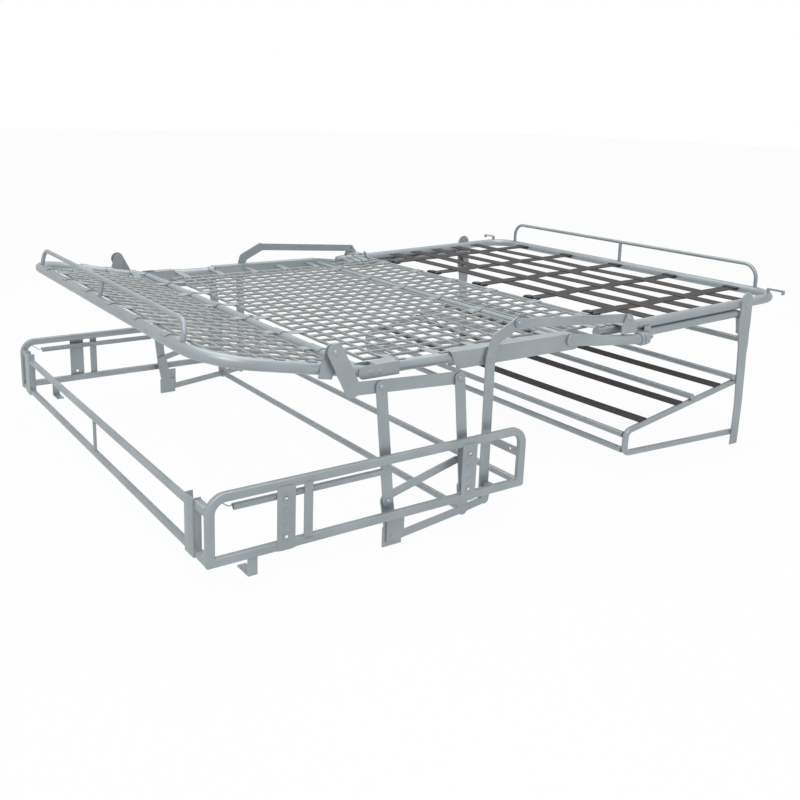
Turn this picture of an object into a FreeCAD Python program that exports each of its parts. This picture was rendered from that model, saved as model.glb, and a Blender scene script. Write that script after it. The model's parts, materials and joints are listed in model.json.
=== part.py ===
"""Sofa bed mechanism: a steel folding bed frame that stands on its base and its two front legs.

Lengths are in mm. X runs from the head end to the foot end, Y from the near side to the far side, Z up from
the floor. Positions along X are counted from the rear uprights of the base and moved to the middle at the end.
"""
import FreeCAD
import Part

import math
import os

from FreeCAD import Placement, Rotation, Vector

SIZES = [
    ("bed_width", 1300, "between the centres of the two bed rails"),
    ("bed_height", 430, "floor to the centre of the bed rails"),
    ("tube_size", 28, "outside of the bed tubes"),
    ("head_hinge_reach", 398, "rear upright to the head hinge"),
    ("head_length", 380, "head hinge to the end tube"),
    ("head_rise", 10.9, "slope of the head section in degrees"),
    ("head_corner", 120, "bend of the head frame"),
    ("foot_pivot_reach", 1045, "rear upright to the foot pivot"),
    ("foot_length", 949, "foot pivot to the end tube"),
    ("foot_rise", 1.75, "slope of the foot section in degrees"),
    ("foot_corner", 88, "bend of the foot frame"),
    ("foot_rail_start", 115, "foot pivot to the open end of the foot rails"),
    ("side_length", 852, "between the uprights of a side frame"),
    ("side_offset", 61, "bed rail centre to side frame centre"),
    ("side_low", 92, "height of the lower side rail"),
    ("side_high", 232, "height of the upper side rail"),
    ("side_corner", 45, "bend of the upper side rail"),
    ("side_bar_height", 20, "side frame bar, seen from the side"),
    ("side_bar_depth", 15, "side frame bar, across"),
    ("channel_start", 645, "rear upright to the channel"),
    ("channel_past_pivot", 30, "foot pivot to the channel's far end"),
    ("channel_height", 44, "height of the side channel"),
    ("channel_width", 34, "width of the side channel"),
    ("channel_wall", 2.5, "wall of the side channel"),
    ("front_arm_setback", 86, "front upright to the front arm's foot"),
    ("front_arm_foot", 53, "height of the front arm's foot pivot"),
    ("front_arm_lean", 4, "front arm, foot pivot back to its channel pin"),
    ("arm_pin_drop", 10, "channel pin below the rail centre"),
    ("arm_tip_reach", 83, "channel pin to the front arm's tip, along"),
    ("arm_tip_rise", 79, "channel pin to the front arm's tip, up"),
    ("rear_arm_setback", 305, "front arm's foot to the rear arm's foot"),
    ("rear_arm_foot", 118, "height of the rear arm's foot pivot"),
    ("centre_arm_setback", 77, "front arm's foot to the centre arm's foot"),
    ("carrier_drop", 31, "carrier pin below the rail centre"),
    ("carrier_fall", 12, "carrier's fall from its rear pin to its centre pin"),
    ("swing_lean", 30, "lean of the rear and centre arms"),
    ("link_reach", 198, "foot pivot to the link's rivet"),
    ("link_rise", 41, "rail centre to the link's rivet"),
    ("head_pin_reach", 86, "head hinge to the carrier's head rivet"),
    ("head_pin_rise", 62, "rail centre to the carrier's head rivet"),
    ("arm_width", 29, "width of the swing arms"),
    ("arm_thick", 4, "thickness of the swing arms"),
    ("link_width", 24, "width of the front link"),
    ("link_thick", 3.5, "thickness of the front link"),
    ("carrier_width", 30, "height of the carrier bar"),
    ("carrier_thick", 4.5, "thickness of the carrier and the pivot plates"),
    ("pin_size", 12, "pivot pins"),
    ("pin_play", 0.3, "gap around a pivot pin"),
    ("base_tube_size", 18, "thin cross tubes"),
    ("mesh_wire", 5, "wire of the meshes"),
    ("mesh_pitch_long", 100, "mesh cell along the bed"),
    ("mesh_pitch_wide", 100, "mesh cell across the bed"),
    ("strap_width", 32, "width of the webbing"),
    ("strap_thick", 2.4, "thickness of the webbing"),
    ("bar_size", 12, "wire of the mattress bars"),
    ("head_bar_height", 58, "head bar above its tube"),
    ("foot_bar_height", 84, "foot bar above its tube"),
    ("strut_size", 24, "strut tube beside the channel"),
    ("brace_size", 20, "bent tube between the strut and the leg"),
    ("leg_reach", 757, "foot pivot to the leg's rivet"),
    ("leg_lean", 22, "lean of the leg towards the foot end"),
    ("leg_width", 54, "leg plate at its top"),
    ("leg_waist", 41, "leg plate below its head"),
    ("leg_head_rise", 24, "top of the leg plate above its rivet"),
    ("leg_head_drop", 64, "leg rivet down to where the plate narrows"),
    ("leg_waist_drop", 150, "leg rivet down to the waist"),
    ("leg_tube_drop", 108, "leg rivet down to the tube between the legs"),
    ("leg_foot_width", 35, "leg plate at the floor"),
    ("leg_thick", 4, "thickness of the leg plate"),
    ("back_tube_size", 18, "tubes of the seat frame"),
    ("seat_reach", 273, "foot pivot to the front of the seat frame"),
    ("seat_tube_reach", 274, "front of the seat frame to its middle tube"),
    ("seat_strap_reach", 70, "front of the seat frame to its first strap"),
    ("seat_strap_pitch", 157, "between the first two seat straps"),
    ("seat_rear_strap", 103, "rear end of the seat frame to its last strap"),
    ("hook_reach", 44, "how far the corner hooks stand out"),
    ("seat_front_high", 126, "upper seat tube at the front"),
    ("seat_rear_high", 210, "upper seat tube at the rear"),
    ("seat_front_low", 60, "lower seat tube at the front"),
    ("seat_rear_low", 38, "lower seat tube at the rear"),
    ("mount_hole", 8.5, "fixing holes of the mounting plates"),
    ("mount_width", 45, "width of a mounting plate"),
    ("mount_setback", 174, "upright to the middle of a mounting plate"),
    ("mount_strap", 22, "width of the strap beside the rear mounting plate"),
    ("rear_foot_reach", 86, "rear upright to the rear foot"),
    ("rear_foot_drop", 42, "rear foot below the lower side rail"),
    ("low_tube_height", 42, "height of the low cross tube"),
    ("brace_width", 19, "braces between the pivot plates"),
    ("upright_width", 34, "upright of the pivot plates"),
    ("truss_foot_width", 54, "foot of the pivot plates"),
    ("spring_size", 16, "outside of the tie springs"),
    ("sleeve_wall", 2.8, "wall of the hinge sleeve"),
    ("sleeve_length", 97, "hinge to the end of the sleeve"),
    ("clip_line", 243, "foot pivot to the webbing's cross tube"),
    ("long_strap_pitch", 245, "between the long straps"),
    ("collar_reach", 250, "foot pivot to the strut's collar"),
    ("seat_strap_width", 34, "width of the seat straps"),
    ("mount_spacing", 90, "between the two fixing holes of a plate"),
]

SEAT = 0.3

doc = FreeCAD.newDocument("sofa_bed_mechanism")
sheet = doc.addObject("Spreadsheet::Sheet", "Sizes")
for row, (alias, value, note) in enumerate(SIZES, start=1):
    sheet.set("A%d" % row, note)
    sheet.set("B%d" % row, str(value))
    sheet.setAlias("B%d" % row, alias)
doc.recompute()


def size(alias):
    return float(sheet.get(alias))


nodes = []
half = size("bed_width") / 2
tube_r = size("tube_size") / 2
rail_z = size("bed_height")
head_x = size("head_hinge_reach")
foot_x = size("foot_pivot_reach")
pin_r = size("pin_size") / 2
hole_r = pin_r + size("pin_play")
side_y = half + size("side_offset")
side_in = side_y - size("side_bar_depth") / 2
side_out = side_y + size("side_bar_depth") / 2
bar_half = size("side_bar_height") / 2
channel_out = half + size("channel_width") / 2
channel_in = half - size("channel_width") / 2
channel_top = rail_z + tube_r + SEAT + size("channel_wall")
channel_low = channel_top - size("channel_height")
front_in = channel_out + 7
front_out = front_in + size("arm_thick")
link_in = front_out + 1.5
link_out = link_in + size("link_thick")
ear_in = link_out + 1.5
plate_in = front_out + 2
plate_out = plate_in + size("carrier_thick")
swing_in = plate_out + 1.5
swing_out = swing_in + size("arm_thick")
strut_in = channel_out + 1.5
strut_y = channel_out + size("strut_size") / 2 + 0.6
leg_in = half + tube_r + SEAT
base_r = size("base_tube_size") / 2
back_r = size("back_tube_size") / 2
post_back = -12
side_len = size("side_length")
arm_foot = (side_len - size("front_arm_setback"), size("front_arm_foot"))
front_pin = (arm_foot[0] - size("front_arm_lean"), rail_z - size("arm_pin_drop"))
link_pin = (front_pin[0] + size("arm_tip_reach"), front_pin[1] + size("arm_tip_rise"))
front_knee = (front_pin[0] + size("arm_tip_reach") / 6, front_pin[1] + size("arm_tip_rise") * 0.58)
rear_foot = (arm_foot[0] - size("rear_arm_setback"), size("rear_arm_foot"))
rear_top = (rear_foot[0] - size("swing_lean"), rail_z - size("carrier_drop"))
centre_foot = (arm_foot[0] - size("centre_arm_setback"), rear_foot[1] - size("carrier_fall"))
centre_top = (centre_foot[0] - size("swing_lean"), rear_top[1] - size("carrier_fall"))
link_end = (foot_x + size("link_reach"), rail_z + size("link_rise"))
head_pivot = (head_x - size("head_pin_reach"), rail_z + size("head_pin_rise"))
foot_turn = Rotation(Vector(0, 1, 0), -size("foot_rise"))
head_turn = Rotation(Vector(0, 1, 0), size("head_rise"))
foot_end = foot_turn.multVec(Vector(size("foot_length"), 0, 0))
origin_x = -(post_back + foot_x + foot_end.x + tube_r) / 2
head_place = Placement(Vector(head_x + origin_x, 0, rail_z), head_turn)
foot_place = Placement(Vector(foot_x + origin_x, 0, rail_z), foot_turn)
base_place = Placement(Vector(origin_x, 0, 0), Rotation())


def rounded(corners):
    """Lines and arcs of a closed outline; each corner is (across, up, radius)."""
    spans = []
    arcs = []
    for index, (across, up, radius) in enumerate(corners):
        here = Vector(across, up, 0)
        back = Vector(*corners[index - 1][:2], 0) - here
        ahead = Vector(*corners[(index + 1) % len(corners)][:2], 0) - here
        angle = back.getAngle(ahead)
        if radius <= 0 or angle > math.radians(179.5):
            spans.append((here, here))
            continue
        back.normalize()
        ahead.normalize()
        cut = radius / math.tan(angle / 2)
        start = here + back * cut
        finish = here + ahead * cut
        middle = back + ahead
        middle.normalize()
        centre = here + middle * (radius / math.sin(angle / 2))
        arcs.append(Part.Arc(start, centre - middle * radius, finish))
        spans.append((start, finish))
    lines = []
    for index, (start, finish) in enumerate(spans):
        following = spans[(index + 1) % len(spans)][0]
        if finish.distanceToPoint(following) > 1e-4:
            lines.append(Part.LineSegment(finish, following))
    return lines + arcs


def strip(points, width, ends=None, bend=14):
    """Outline of a bar of even width along a line of points, round at both ends."""
    reach = width / 2 if ends is None else ends
    path = [Vector(a, b, 0) for a, b in points]
    first = path[0] - path[1]
    first.normalize()
    last = path[-1] - path[-2]
    last.normalize()
    path[0] = path[0] + first * reach
    path[-1] = path[-1] + last * reach
    left = []
    right = []
    for index, point in enumerate(path):
        before = path[index] - path[index - 1] if index else path[1] - path[0]
        after = path[index + 1] - path[index] if index + 1 < len(path) else before
        before.normalize()
        after.normalize()
        side = Vector(-before.y - after.y, before.x + after.x, 0)
        side.normalize()
        spread = width / 2 / side.dot(Vector(-before.y, before.x, 0))
        end = index in (0, len(path) - 1)
        radius = (width / 2 - 0.01 if ends is None else 1.5) if end else bend
        left.append((point.x + side.x * spread, point.y + side.y * spread, radius))
        right.append((point.x - side.x * spread, point.y - side.y * spread, radius))
    return left + right[::-1]


def plate(name, corners, thickness, y_mid, holes=(), windows=(), place=base_place):
    """A flat plate standing along the bed: its outline is drawn in X and Z."""
    body = doc.addObject("PartDesign::Body", name)
    plane = [item for item in body.Origin.OriginFeatures if item.Role == "XZ_Plane"][0]
    sketch = body.newObject("Sketcher::SketchObject", name + "_outline")
    sketch.AttachmentSupport = (plane, [""])
    sketch.MapMode = "FlatFace"
    sketch.addGeometry(rounded(corners))
    for window in windows:
        sketch.addGeometry(rounded(window))
    for across, up, radius in holes:
        sketch.addGeometry(Part.Circle(Vector(across, up, 0), Vector(0, 0, 1), radius))
    pad = body.newObject("PartDesign::Pad", name + "_pad")
    pad.Profile = sketch
    pad.SideType = "Symmetric"
    pad.setExpression("Length", thickness)
    body.Placement = place * Placement(Vector(0, y_mid, 0), Rotation())
    return body


def rod(name, start, finish, diameter, place=base_place):
    """A round bar between two points; diameter is an expression on the sheet."""
    line = Vector(*finish) - Vector(*start)
    bar = doc.addObject("Part::Cylinder", name)
    bar.setExpression("Radius", "(%s) / 2" % diameter)
    bar.Height = line.Length
    bar.Placement = place * Placement(Vector(*start), Rotation(Vector(0, 0, 1), line))
    return bar


def block(name, low, high, place=base_place):
    box = doc.addObject("Part::Box", name)
    box.Length = high[0] - low[0]
    box.Width = high[1] - low[1]
    box.Height = high[2] - low[2]
    box.Placement = place * Placement(Vector(*low), Rotation())
    return box


def bent_rod(name, points, radius, diameter, place=base_place):
    """A round bar swept along straight runs joined by bends of one radius."""
    path = [Vector(*point) for point in points]
    edges = []
    start = path[0]
    for index in range(1, len(path) - 1):
        back = path[index - 1] - path[index]
        ahead = path[index + 1] - path[index]
        angle = back.getAngle(ahead)
        back.normalize()
        ahead.normalize()
        cut = radius / math.tan(angle / 2)
        middle = back + ahead
        middle.normalize()
        centre = path[index] + middle * (radius / math.sin(angle / 2))
        enter = path[index] + back * cut
        leave = path[index] + ahead * cut
        if start.distanceToPoint(enter) > 1e-4:
            edges.append(Part.LineSegment(start, enter).toShape())
        edges.append(Part.Arc(enter, centre - middle * radius, leave).toShape())
        start = leave
    edges.append(Part.LineSegment(start, path[-1]).toShape())
    spine = doc.addObject("Part::Feature", name + "_line")
    spine.Shape = Part.Wire(edges)
    ring = doc.addObject("Part::Circle", name + "_section")
    ring.setExpression("Radius", "(%s) / 2" % diameter)
    ring.Placement = Placement(path[0], Rotation(Vector(0, 0, 1), path[1] - path[0]))
    sweep = doc.addObject("Part::Sweep", name)
    sweep.Sections = [ring]
    sweep.Spine = (spine, ["Edge%d" % (n + 1) for n in range(len(edges))])
    sweep.Solid = True
    sweep.Frenet = False
    sweep.Placement = place
    return sweep


def fuse(name, shapes):
    whole = doc.addObject("Part::MultiFuse", name)
    whole.Shapes = shapes
    whole.Refine = True
    return whole


def cut(name, base, tool):
    result = doc.addObject("Part::Cut", name)
    result.Base = base
    result.Tool = tool
    return result


def far_copy(name, near):
    copy = doc.addObject("Part::Mirroring", name)
    copy.Source = near
    copy.Normal = Vector(0, 1, 0)
    copy.Base = Vector(0, 0, 0)
    return copy


def keep(label, thing):
    thing.Label = label
    nodes.append(thing)
    return thing


def keep_pair(label, near):
    """Near and far pieces that share one name."""
    both = doc.addObject("Part::Compound", label + "_pair")
    both.Links = [near, far_copy(label + "_far", near)]
    return keep(label, both)


def keep_each(label, near):
    """Near and far pieces with a name each."""
    far = far_copy("far_" + label, near)
    keep("near_" + label, near)
    keep("far_" + label, far)


def keep_set(label, things):
    group = doc.addObject("Part::Compound", label + "_set")
    group.Links = things
    return keep(label, group)


def clip(polygon, border):
    """The part of a polygon inside a convex border given counter-clockwise."""
    kept = polygon
    for index, (ax, ay) in enumerate(border):
        bx, by = border[(index + 1) % len(border)]
        result = []
        for step, (px, py) in enumerate(kept):
            qx, qy = kept[(step + 1) % len(kept)]
            side_p = (bx - ax) * (py - ay) - (by - ay) * (px - ax)
            side_q = (bx - ax) * (qy - ay) - (by - ay) * (qx - ax)
            if side_p >= 0:
                result.append((px, py))
            if side_p * side_q < 0:
                share = side_p / (side_p - side_q)
                result.append((px + (qx - px) * share, py + (qy - py) * share))
        kept = result
        if len(kept) < 3:
            return []
    return kept


def area(polygon):
    total = 0
    for step, (px, py) in enumerate(polygon):
        qx, qy = polygon[(step + 1) % len(polygon)]
        total += px * qy - py * qx
    return total / 2


def shrink(border, inset):
    """A convex border moved inwards on every side."""
    lines = []
    for index, (ax, ay) in enumerate(border):
        bx, by = border[(index + 1) % len(border)]
        length = math.hypot(bx - ax, by - ay)
        nx, ny = -(by - ay) / length, (bx - ax) / length
        lines.append((nx, ny, nx * ax + ny * ay + inset))
    corners = []
    for index, (n1, m1, d1) in enumerate(lines):
        n0, m0, d0 = lines[index - 1]
        det = n0 * m1 - n1 * m0
        corners.append(((d0 * m1 - d1 * m0) / det, (n0 * d1 - n1 * d0) / det))
    return corners


def ring_of(polygon):
    loop = [Vector(x, y, 0) for x, y in polygon]
    return Part.makePolygon(loop + loop[:1])


def sheet_of(name, outer, holes, thickness, place, lift):
    face = doc.addObject("Part::Feature", name + "_face")
    face.Shape = Part.makeFace([ring_of(outer)] + [ring_of(hole) for hole in holes],
                               "Part::FaceMakerBullseye")
    panel = doc.addObject("Part::Extrusion", name + "_panel")
    panel.Base = face
    panel.DirMode = "Custom"
    panel.Dir = Vector(0, 0, 1)
    panel.setExpression("LengthFwd", thickness)
    panel.Solid = True
    panel.Placement = place * Placement(Vector(0, 0, lift), Rotation())
    return panel


def lattice(name, outer, place, lift, tabs):
    """A wire mesh panel, square to the bed, with short tabs that hook onto the tubes."""
    wire = size("mesh_wire")
    inner = shrink(outer, wire)
    low_x = min(x for x, _ in inner)
    high_x = max(x for x, _ in inner)
    high_y = max(y for _, y in inner)
    along = max(1, round((high_x - low_x) / size("mesh_pitch_long")))
    across = max(1, round(2 * high_y / size("mesh_pitch_wide")))
    step_x = (high_x - low_x + wire) / along
    step_y = (2 * high_y + wire) / across
    cells = []
    for i in range(along):
        for j in range(across):
            x = low_x + i * step_x
            y = -high_y + j * step_y
            hole = clip([(x, y), (x + step_x - wire, y), (x + step_x - wire, y + step_y - wire),
                         (x, y + step_y - wire)], inner)
            if hole and area(hole) > wire * wire:
                cells.append(hole)
    outline = []
    for index, corner in enumerate(outer):
        outline.append(corner)
        for begin, finish in tabs.get(index, []):
            outline.extend([begin[0], begin[1], finish[0], finish[1]])
    return sheet_of(name, outline, cells, "Sizes.mesh_wire", place, lift)


def tabs_on(start, finish, outward, count, width):
    """Short tabs at even steps along one side of a panel, drawn in the side's own direction."""
    line = Vector(finish[0] - start[0], finish[1] - start[1], 0)
    step = Vector(line)
    step.normalize()
    out = Vector(outward[0], outward[1], 0)
    marks = []
    for index in range(count):
        centre = Vector(start[0], start[1], 0) + line * ((index + 0.5) / count)
        before = centre - step * (width / 2)
        after = centre + step * (width / 2)
        marks.append((((before.x, before.y), (before.x + out.x, before.y + out.y)),
                      ((after.x + out.x, after.y + out.y), (after.x, after.y))))
    return marks


# Base: two side frames, their mounting plates, and the posts, tubes and plates between them.
low = size("side_low")
high = size("side_high")
bend = size("side_corner")
outer = [(-bar_half, low - bar_half, 0), (side_len + bar_half, low - bar_half, 0),
         (side_len + bar_half, high + bar_half, bend), (-bar_half, high + bar_half, bend)]
inner = [(bar_half, low + bar_half, 0), (side_len - bar_half, low + bar_half, 0),
         (side_len - bar_half, high - bar_half, bend - 2 * bar_half),
         (bar_half, high - bar_half, bend - 2 * bar_half)]
keep_each("side_frame", plate("side_frame", outer, "Sizes.side_bar_depth", -side_y, windows=[inner]))

mount_z = (low + high) / 2 - 5
hole_step = size("mount_spacing") / 2
mount_r = size("mount_hole") / 2
mount_half = size("mount_width") / 2
mount_middles = (size("mount_setback"), side_len - size("mount_setback"))
plates = []
for index, middle in enumerate(mount_middles):
    plates.append(plate("mount_plate_%d" % (index + 1),
                        [(middle - mount_half, low - bar_half, 0), (middle + mount_half, low - bar_half, 0),
                         (middle + mount_half, high - bar_half, 0), (middle - mount_half, high - bar_half, 0)],
                        "3", -side_out - 1.5,
                        holes=[(middle, mount_z - hole_step, mount_r), (middle, mount_z + hole_step, mount_r)]))
strap_left = mount_middles[0] + mount_half + 22
strap_right = strap_left + size("mount_strap")
strap = plate("mount_strap", [(strap_left, low + bar_half, 0), (strap_right, low + bar_half, 0),
                              (strap_right, high - bar_half, 0), (strap_left, high - bar_half, 0)],
              "4", -side_out + 2)
keep_each("mounting_plates", fuse("mount_group", plates + [strap]))

post_in = half - 38
post_out = half + 6
post_low = low - 9
post_high = high - 16
post_front = bar_half - 2
post_wall = 3
post = fuse("rear_post", [
    block("post_web", (post_back, -post_out, post_low), (post_back + post_wall, -post_in, post_high)),
    block("post_outer", (post_back, -post_out, post_low), (post_front, -post_out + post_wall, post_high)),
    block("post_inner", (post_back, -post_in - post_wall, post_low), (post_front, -post_in, post_high)),
    block("post_high_tie", (-post_front, -side_in, post_high - 22), (post_front, -post_out, post_high - 4)),
    block("post_low_tie", (-post_front, -side_in, low - 8), (post_front, -post_out, low + 8))])
keep_pair("rear_posts", post)

rear_x = -2
tie_z = (low + 1, high - 39)
rear_bars = [rod("rear_bar_%d" % n, (rear_x, -post_in, z), (rear_x, post_in, z), "Sizes.base_tube_size")
             for n, z in enumerate(tie_z)]
tie = rod("rear_tie_rod", (rear_x, 0, tie_z[0]), (rear_x, 0, tie_z[1]), "Sizes.base_tube_size / 2")
keep("rear_cross_tubes", fuse("rear_cross", rear_bars + [tie]))

rear_foot_left = size("rear_foot_reach")
rear_foot_right = rear_foot_left + 22
rear_foot_low = low - bar_half - size("rear_foot_drop")
foot_strip = fuse("rear_foot", [
    block("foot_upright", (rear_foot_left, -side_y - 3, rear_foot_low),
          (rear_foot_right, -side_y + 1, low - bar_half)),
    block("foot_sole", (rear_foot_left, -side_y - 3, rear_foot_low), (rear_foot_right, -side_y + 50, rear_foot_low + 3))])
keep_pair("rear_feet", foot_strip)

front_x = side_len
keep("front_cross_bar", rod("front_bar", (front_x, -side_in, low), (front_x, side_in, low),
                            "Sizes.base_tube_size"))
tab_z = low + 77
tab = block("front_tab_flat", (front_x - 2, -side_in, tab_z - 11), (front_x + 2, -half + 52, tab_z + 11))
keep_pair("front_tabs", cut("front_tab", tab, rod("front_tab_hole", (front_x - 9, -half - 24, tab_z),
                                                  (front_x + 9, -half - 24, tab_z), "9")))

# Pivot plates: a small truss inside each side frame that stands on the floor and carries the swing arms.
plate_mid = (plate_in + plate_out) / 2
truss_foot = (rear_foot[0] + 19, 18)
low_tube = (arm_foot[0] - 71, size("low_tube_height"))
brace_w = size("brace_width")
upright_w = size("upright_width")
foot_half = size("truss_foot_width") / 2
spacer_low = low - bar_half
spacer_high = low + 4
truss = fuse("pivot_truss", [
    plate("pivot_upright", strip((truss_foot, (rear_foot[0] + 9, 70), rear_foot), upright_w, bend=20),
          "Sizes.carrier_thick", -plate_mid),
    plate("pivot_foot", [(truss_foot[0] - foot_half, 0, 0), (truss_foot[0] + foot_half, 0, 0),
                         (truss_foot[0] + foot_half, 50, 0), (truss_foot[0] - foot_half, 50, 0)],
          "Sizes.carrier_thick", -plate_mid),
    plate("pivot_brace_high", strip(((rear_foot[0] + 12, rear_foot[1] + 12), (centre_foot[0] - 25, high - 54)), brace_w),
          "Sizes.carrier_thick", -plate_mid),
    plate("pivot_brace_low", strip((truss_foot, low_tube, arm_foot), brace_w), "Sizes.carrier_thick", -plate_mid),
    plate("pivot_front", strip((arm_foot, (arm_foot[0] + 5, low - 6)), upright_w - 10), "Sizes.carrier_thick",
          -plate_mid),
    plate("pivot_centre", strip((low_tube, centre_foot), upright_w - 4), "Sizes.carrier_thick", -plate_mid),
    rod("pivot_pin_rear", (rear_foot[0], -plate_mid, rear_foot[1]), (rear_foot[0], -swing_out - 1, rear_foot[1]),
        "Sizes.pin_size"),
    rod("pivot_pin_centre", (centre_foot[0], -plate_mid, centre_foot[1]),
        (centre_foot[0], -swing_out - 1, centre_foot[1]), "Sizes.pin_size"),
    rod("pivot_pin_front", (arm_foot[0], -plate_mid, arm_foot[1]), (arm_foot[0], -front_in + 1.2, arm_foot[1]),
        "Sizes.pin_size"),
    block("pivot_spacer_rear", (rear_foot[0] - 4, -side_in, spacer_low), (rear_foot[0] + 16, -plate_in, spacer_high)),
    block("pivot_spacer_front", (arm_foot[0] - 5, -side_in, spacer_low), (arm_foot[0] + 15, -plate_in, spacer_high))])
keep_pair("pivot_plates", truss)
keep("low_cross_tube", rod("low_cross", (low_tube[0], -plate_in, low_tube[1]), (low_tube[0], plate_in, low_tube[1]),
                           "Sizes.base_tube_size"))

spring_y = half + 55
spring_z = high - 29
spring_front = rear_foot[0] - 43
spring = fuse("assist_spring", [
    rod("spring_coil", (bar_half + 46, -spring_y, spring_z), (spring_front, -spring_y, spring_z),
        "Sizes.spring_size"),
    rod("spring_hook_rear", (bar_half + 1.9, -spring_y, spring_z), (bar_half + 50, -spring_y, spring_z), "5"),
    rod("spring_hook_front", (spring_front - 4, -spring_y, spring_z), (spring_front + 20, -spring_y, spring_z), "5")])
keep_pair("tie_springs", spring)

# Swing arms and the bars between them.
front_mid = (front_in + front_out) / 2
link_mid = (link_in + link_out) / 2
swing_mid = (swing_in + swing_out) / 2
arm_w = size("arm_width")
arm = fuse("front_arm", [
    plate("front_arm_bar", strip((arm_foot, front_pin, front_knee, link_pin), arm_w, bend=18), "Sizes.arm_thick",
          -front_mid, holes=[(*arm_foot, hole_r), (*front_pin, hole_r)]),
    rod("front_arm_pin", (link_pin[0], -front_mid, link_pin[1]), (link_pin[0], -link_out - 0.8, link_pin[1]),
        "Sizes.pin_size")])
keep_pair("front_arms", arm)

keep_pair("front_links", plate("front_link", strip((link_pin, link_end), size("link_width")), "Sizes.link_thick",
                               -link_mid, holes=[(*link_pin, hole_r), (*link_end, 4)]))

keep_pair("rear_arms", plate("rear_arm", strip((rear_foot, rear_top), arm_w), "Sizes.arm_thick", -swing_mid,
                             holes=[(*rear_foot, hole_r), (*rear_top, hole_r)]))
keep_pair("centre_arms", plate("centre_arm", strip((centre_foot, centre_top), arm_w), "Sizes.arm_thick",
                               -swing_mid, holes=[(*centre_foot, hole_r), (*centre_top, hole_r)]))

carrier_w = size("carrier_width")
carrier_fall = size("carrier_fall") / (centre_top[0] - rear_top[0])
carrier_end = (head_pivot[0] + 46, rear_top[1] + carrier_fall * (rear_top[0] - head_pivot[0] - 46))
carrier = fuse("carrier", [
    plate("carrier_bar", strip((carrier_end, rear_top, centre_top), carrier_w, ends=carrier_w / 2 - 2),
          "Sizes.carrier_thick", -plate_mid),
    plate("carrier_head", strip((carrier_end, head_pivot), carrier_w + 10), "Sizes.carrier_thick", -plate_mid,
          holes=[(*head_pivot, 4)]),
    rod("carrier_pin_rear", (rear_top[0], -plate_mid, rear_top[1]), (rear_top[0], -swing_out - 0.8, rear_top[1]),
        "Sizes.pin_size"),
    rod("carrier_pin_centre", (centre_top[0], -plate_mid, centre_top[1]),
        (centre_top[0], -swing_out - 0.8, centre_top[1]), "Sizes.pin_size")])
keep_pair("carriers", carrier)

# Middle section: rails with a hinge sleeve at the head, pressed channels, cross tubes and mesh.
channel_left = size("channel_start")
channel_right = foot_x + size("channel_past_pivot")
wall = size("channel_wall")
sleeve_wall = size("sleeve_wall")
sleeve_in = half - tube_r - sleeve_wall - SEAT
sleeve_out = half + tube_r + sleeve_wall + SEAT
sleeve_end = head_x + size("sleeve_length")
sleeve_outline = [(head_x - tube_r, rail_z - tube_r - 1, 13), (sleeve_end, rail_z - tube_r - 1, 0),
                  (sleeve_end, rail_z + tube_r + 2, 0), (head_x - tube_r, rail_z + tube_r + 2, 13)]
rail = fuse("middle_rail", [
    rod("middle_tube", (head_x + 26, -half, rail_z), (channel_left + 50, -half, rail_z), "Sizes.tube_size"),
    plate("sleeve_outer", sleeve_outline, "Sizes.sleeve_wall", -sleeve_out + sleeve_wall / 2),
    plate("sleeve_inner", sleeve_outline, "Sizes.sleeve_wall", -sleeve_in - sleeve_wall / 2),
    block("sleeve_top", (head_x + 30, -sleeve_out, rail_z + tube_r - 2), (sleeve_end, -sleeve_in, rail_z + tube_r + 2)),
    rod("head_pin", (head_x, -sleeve_out, rail_z), (head_x, -sleeve_in, rail_z), "Sizes.pin_size")])
keep_each("middle_rail", rail)

side_outline = [(channel_left + 22, channel_low, 0), (channel_right, channel_low, 14),
                (channel_right, channel_top, 14), (channel_left, channel_top, 0)]
foot_pin = (foot_x, rail_z)
channel = fuse("side_channel", [
    plate("channel_web", side_outline, "Sizes.channel_wall", -channel_out + wall / 2),
    plate("channel_lip", side_outline, "Sizes.channel_wall", -channel_in - wall / 2),
    block("channel_cap", (channel_left + 2, -channel_out, channel_top - wall),
          (channel_right - 20, -channel_in, channel_top)),
    rod("arm_pin", (front_pin[0], -channel_in, front_pin[1]), (front_pin[0], -front_out - 1, front_pin[1]),
        "Sizes.pin_size"),
    rod("foot_pin", (foot_pin[0], -channel_in, foot_pin[1]), (foot_pin[0], -strut_in - 4.6, foot_pin[1]),
        "Sizes.pin_size")])
keep_each("side_channel", channel)

keep("hinge_cross_tube", rod("hinge_cross", (head_x, -sleeve_in, rail_z), (head_x, sleeve_in, rail_z),
                             "Sizes.tube_size"))
middle_end = channel_right - 12
keep("middle_cross_tube", rod("middle_cross", (middle_end, -channel_in, rail_z), (middle_end, channel_in, rail_z),
                              "Sizes.base_tube_size"))

panel_half = half - 44
mesh_left = head_x + tube_r + 14
mesh_right = middle_end - 22
mesh_low = -size("mesh_wire") / 2
rail_place = Placement(Vector(origin_x, 0, rail_z), Rotation())
outer = [(mesh_left, -panel_half), (mesh_right, -panel_half), (mesh_right, panel_half), (mesh_left, panel_half)]
left_gap = mesh_left - head_x - tube_r - SEAT
right_gap = middle_end - base_r - SEAT - mesh_right
keep("middle_mesh", lattice("middle_mesh", outer, rail_place, mesh_low, {
    1: tabs_on(outer[1], outer[2], (right_gap, 0), 6, 12),
    3: tabs_on(outer[3], outer[0], (-left_gap, 0), 6, 12)}))

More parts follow.
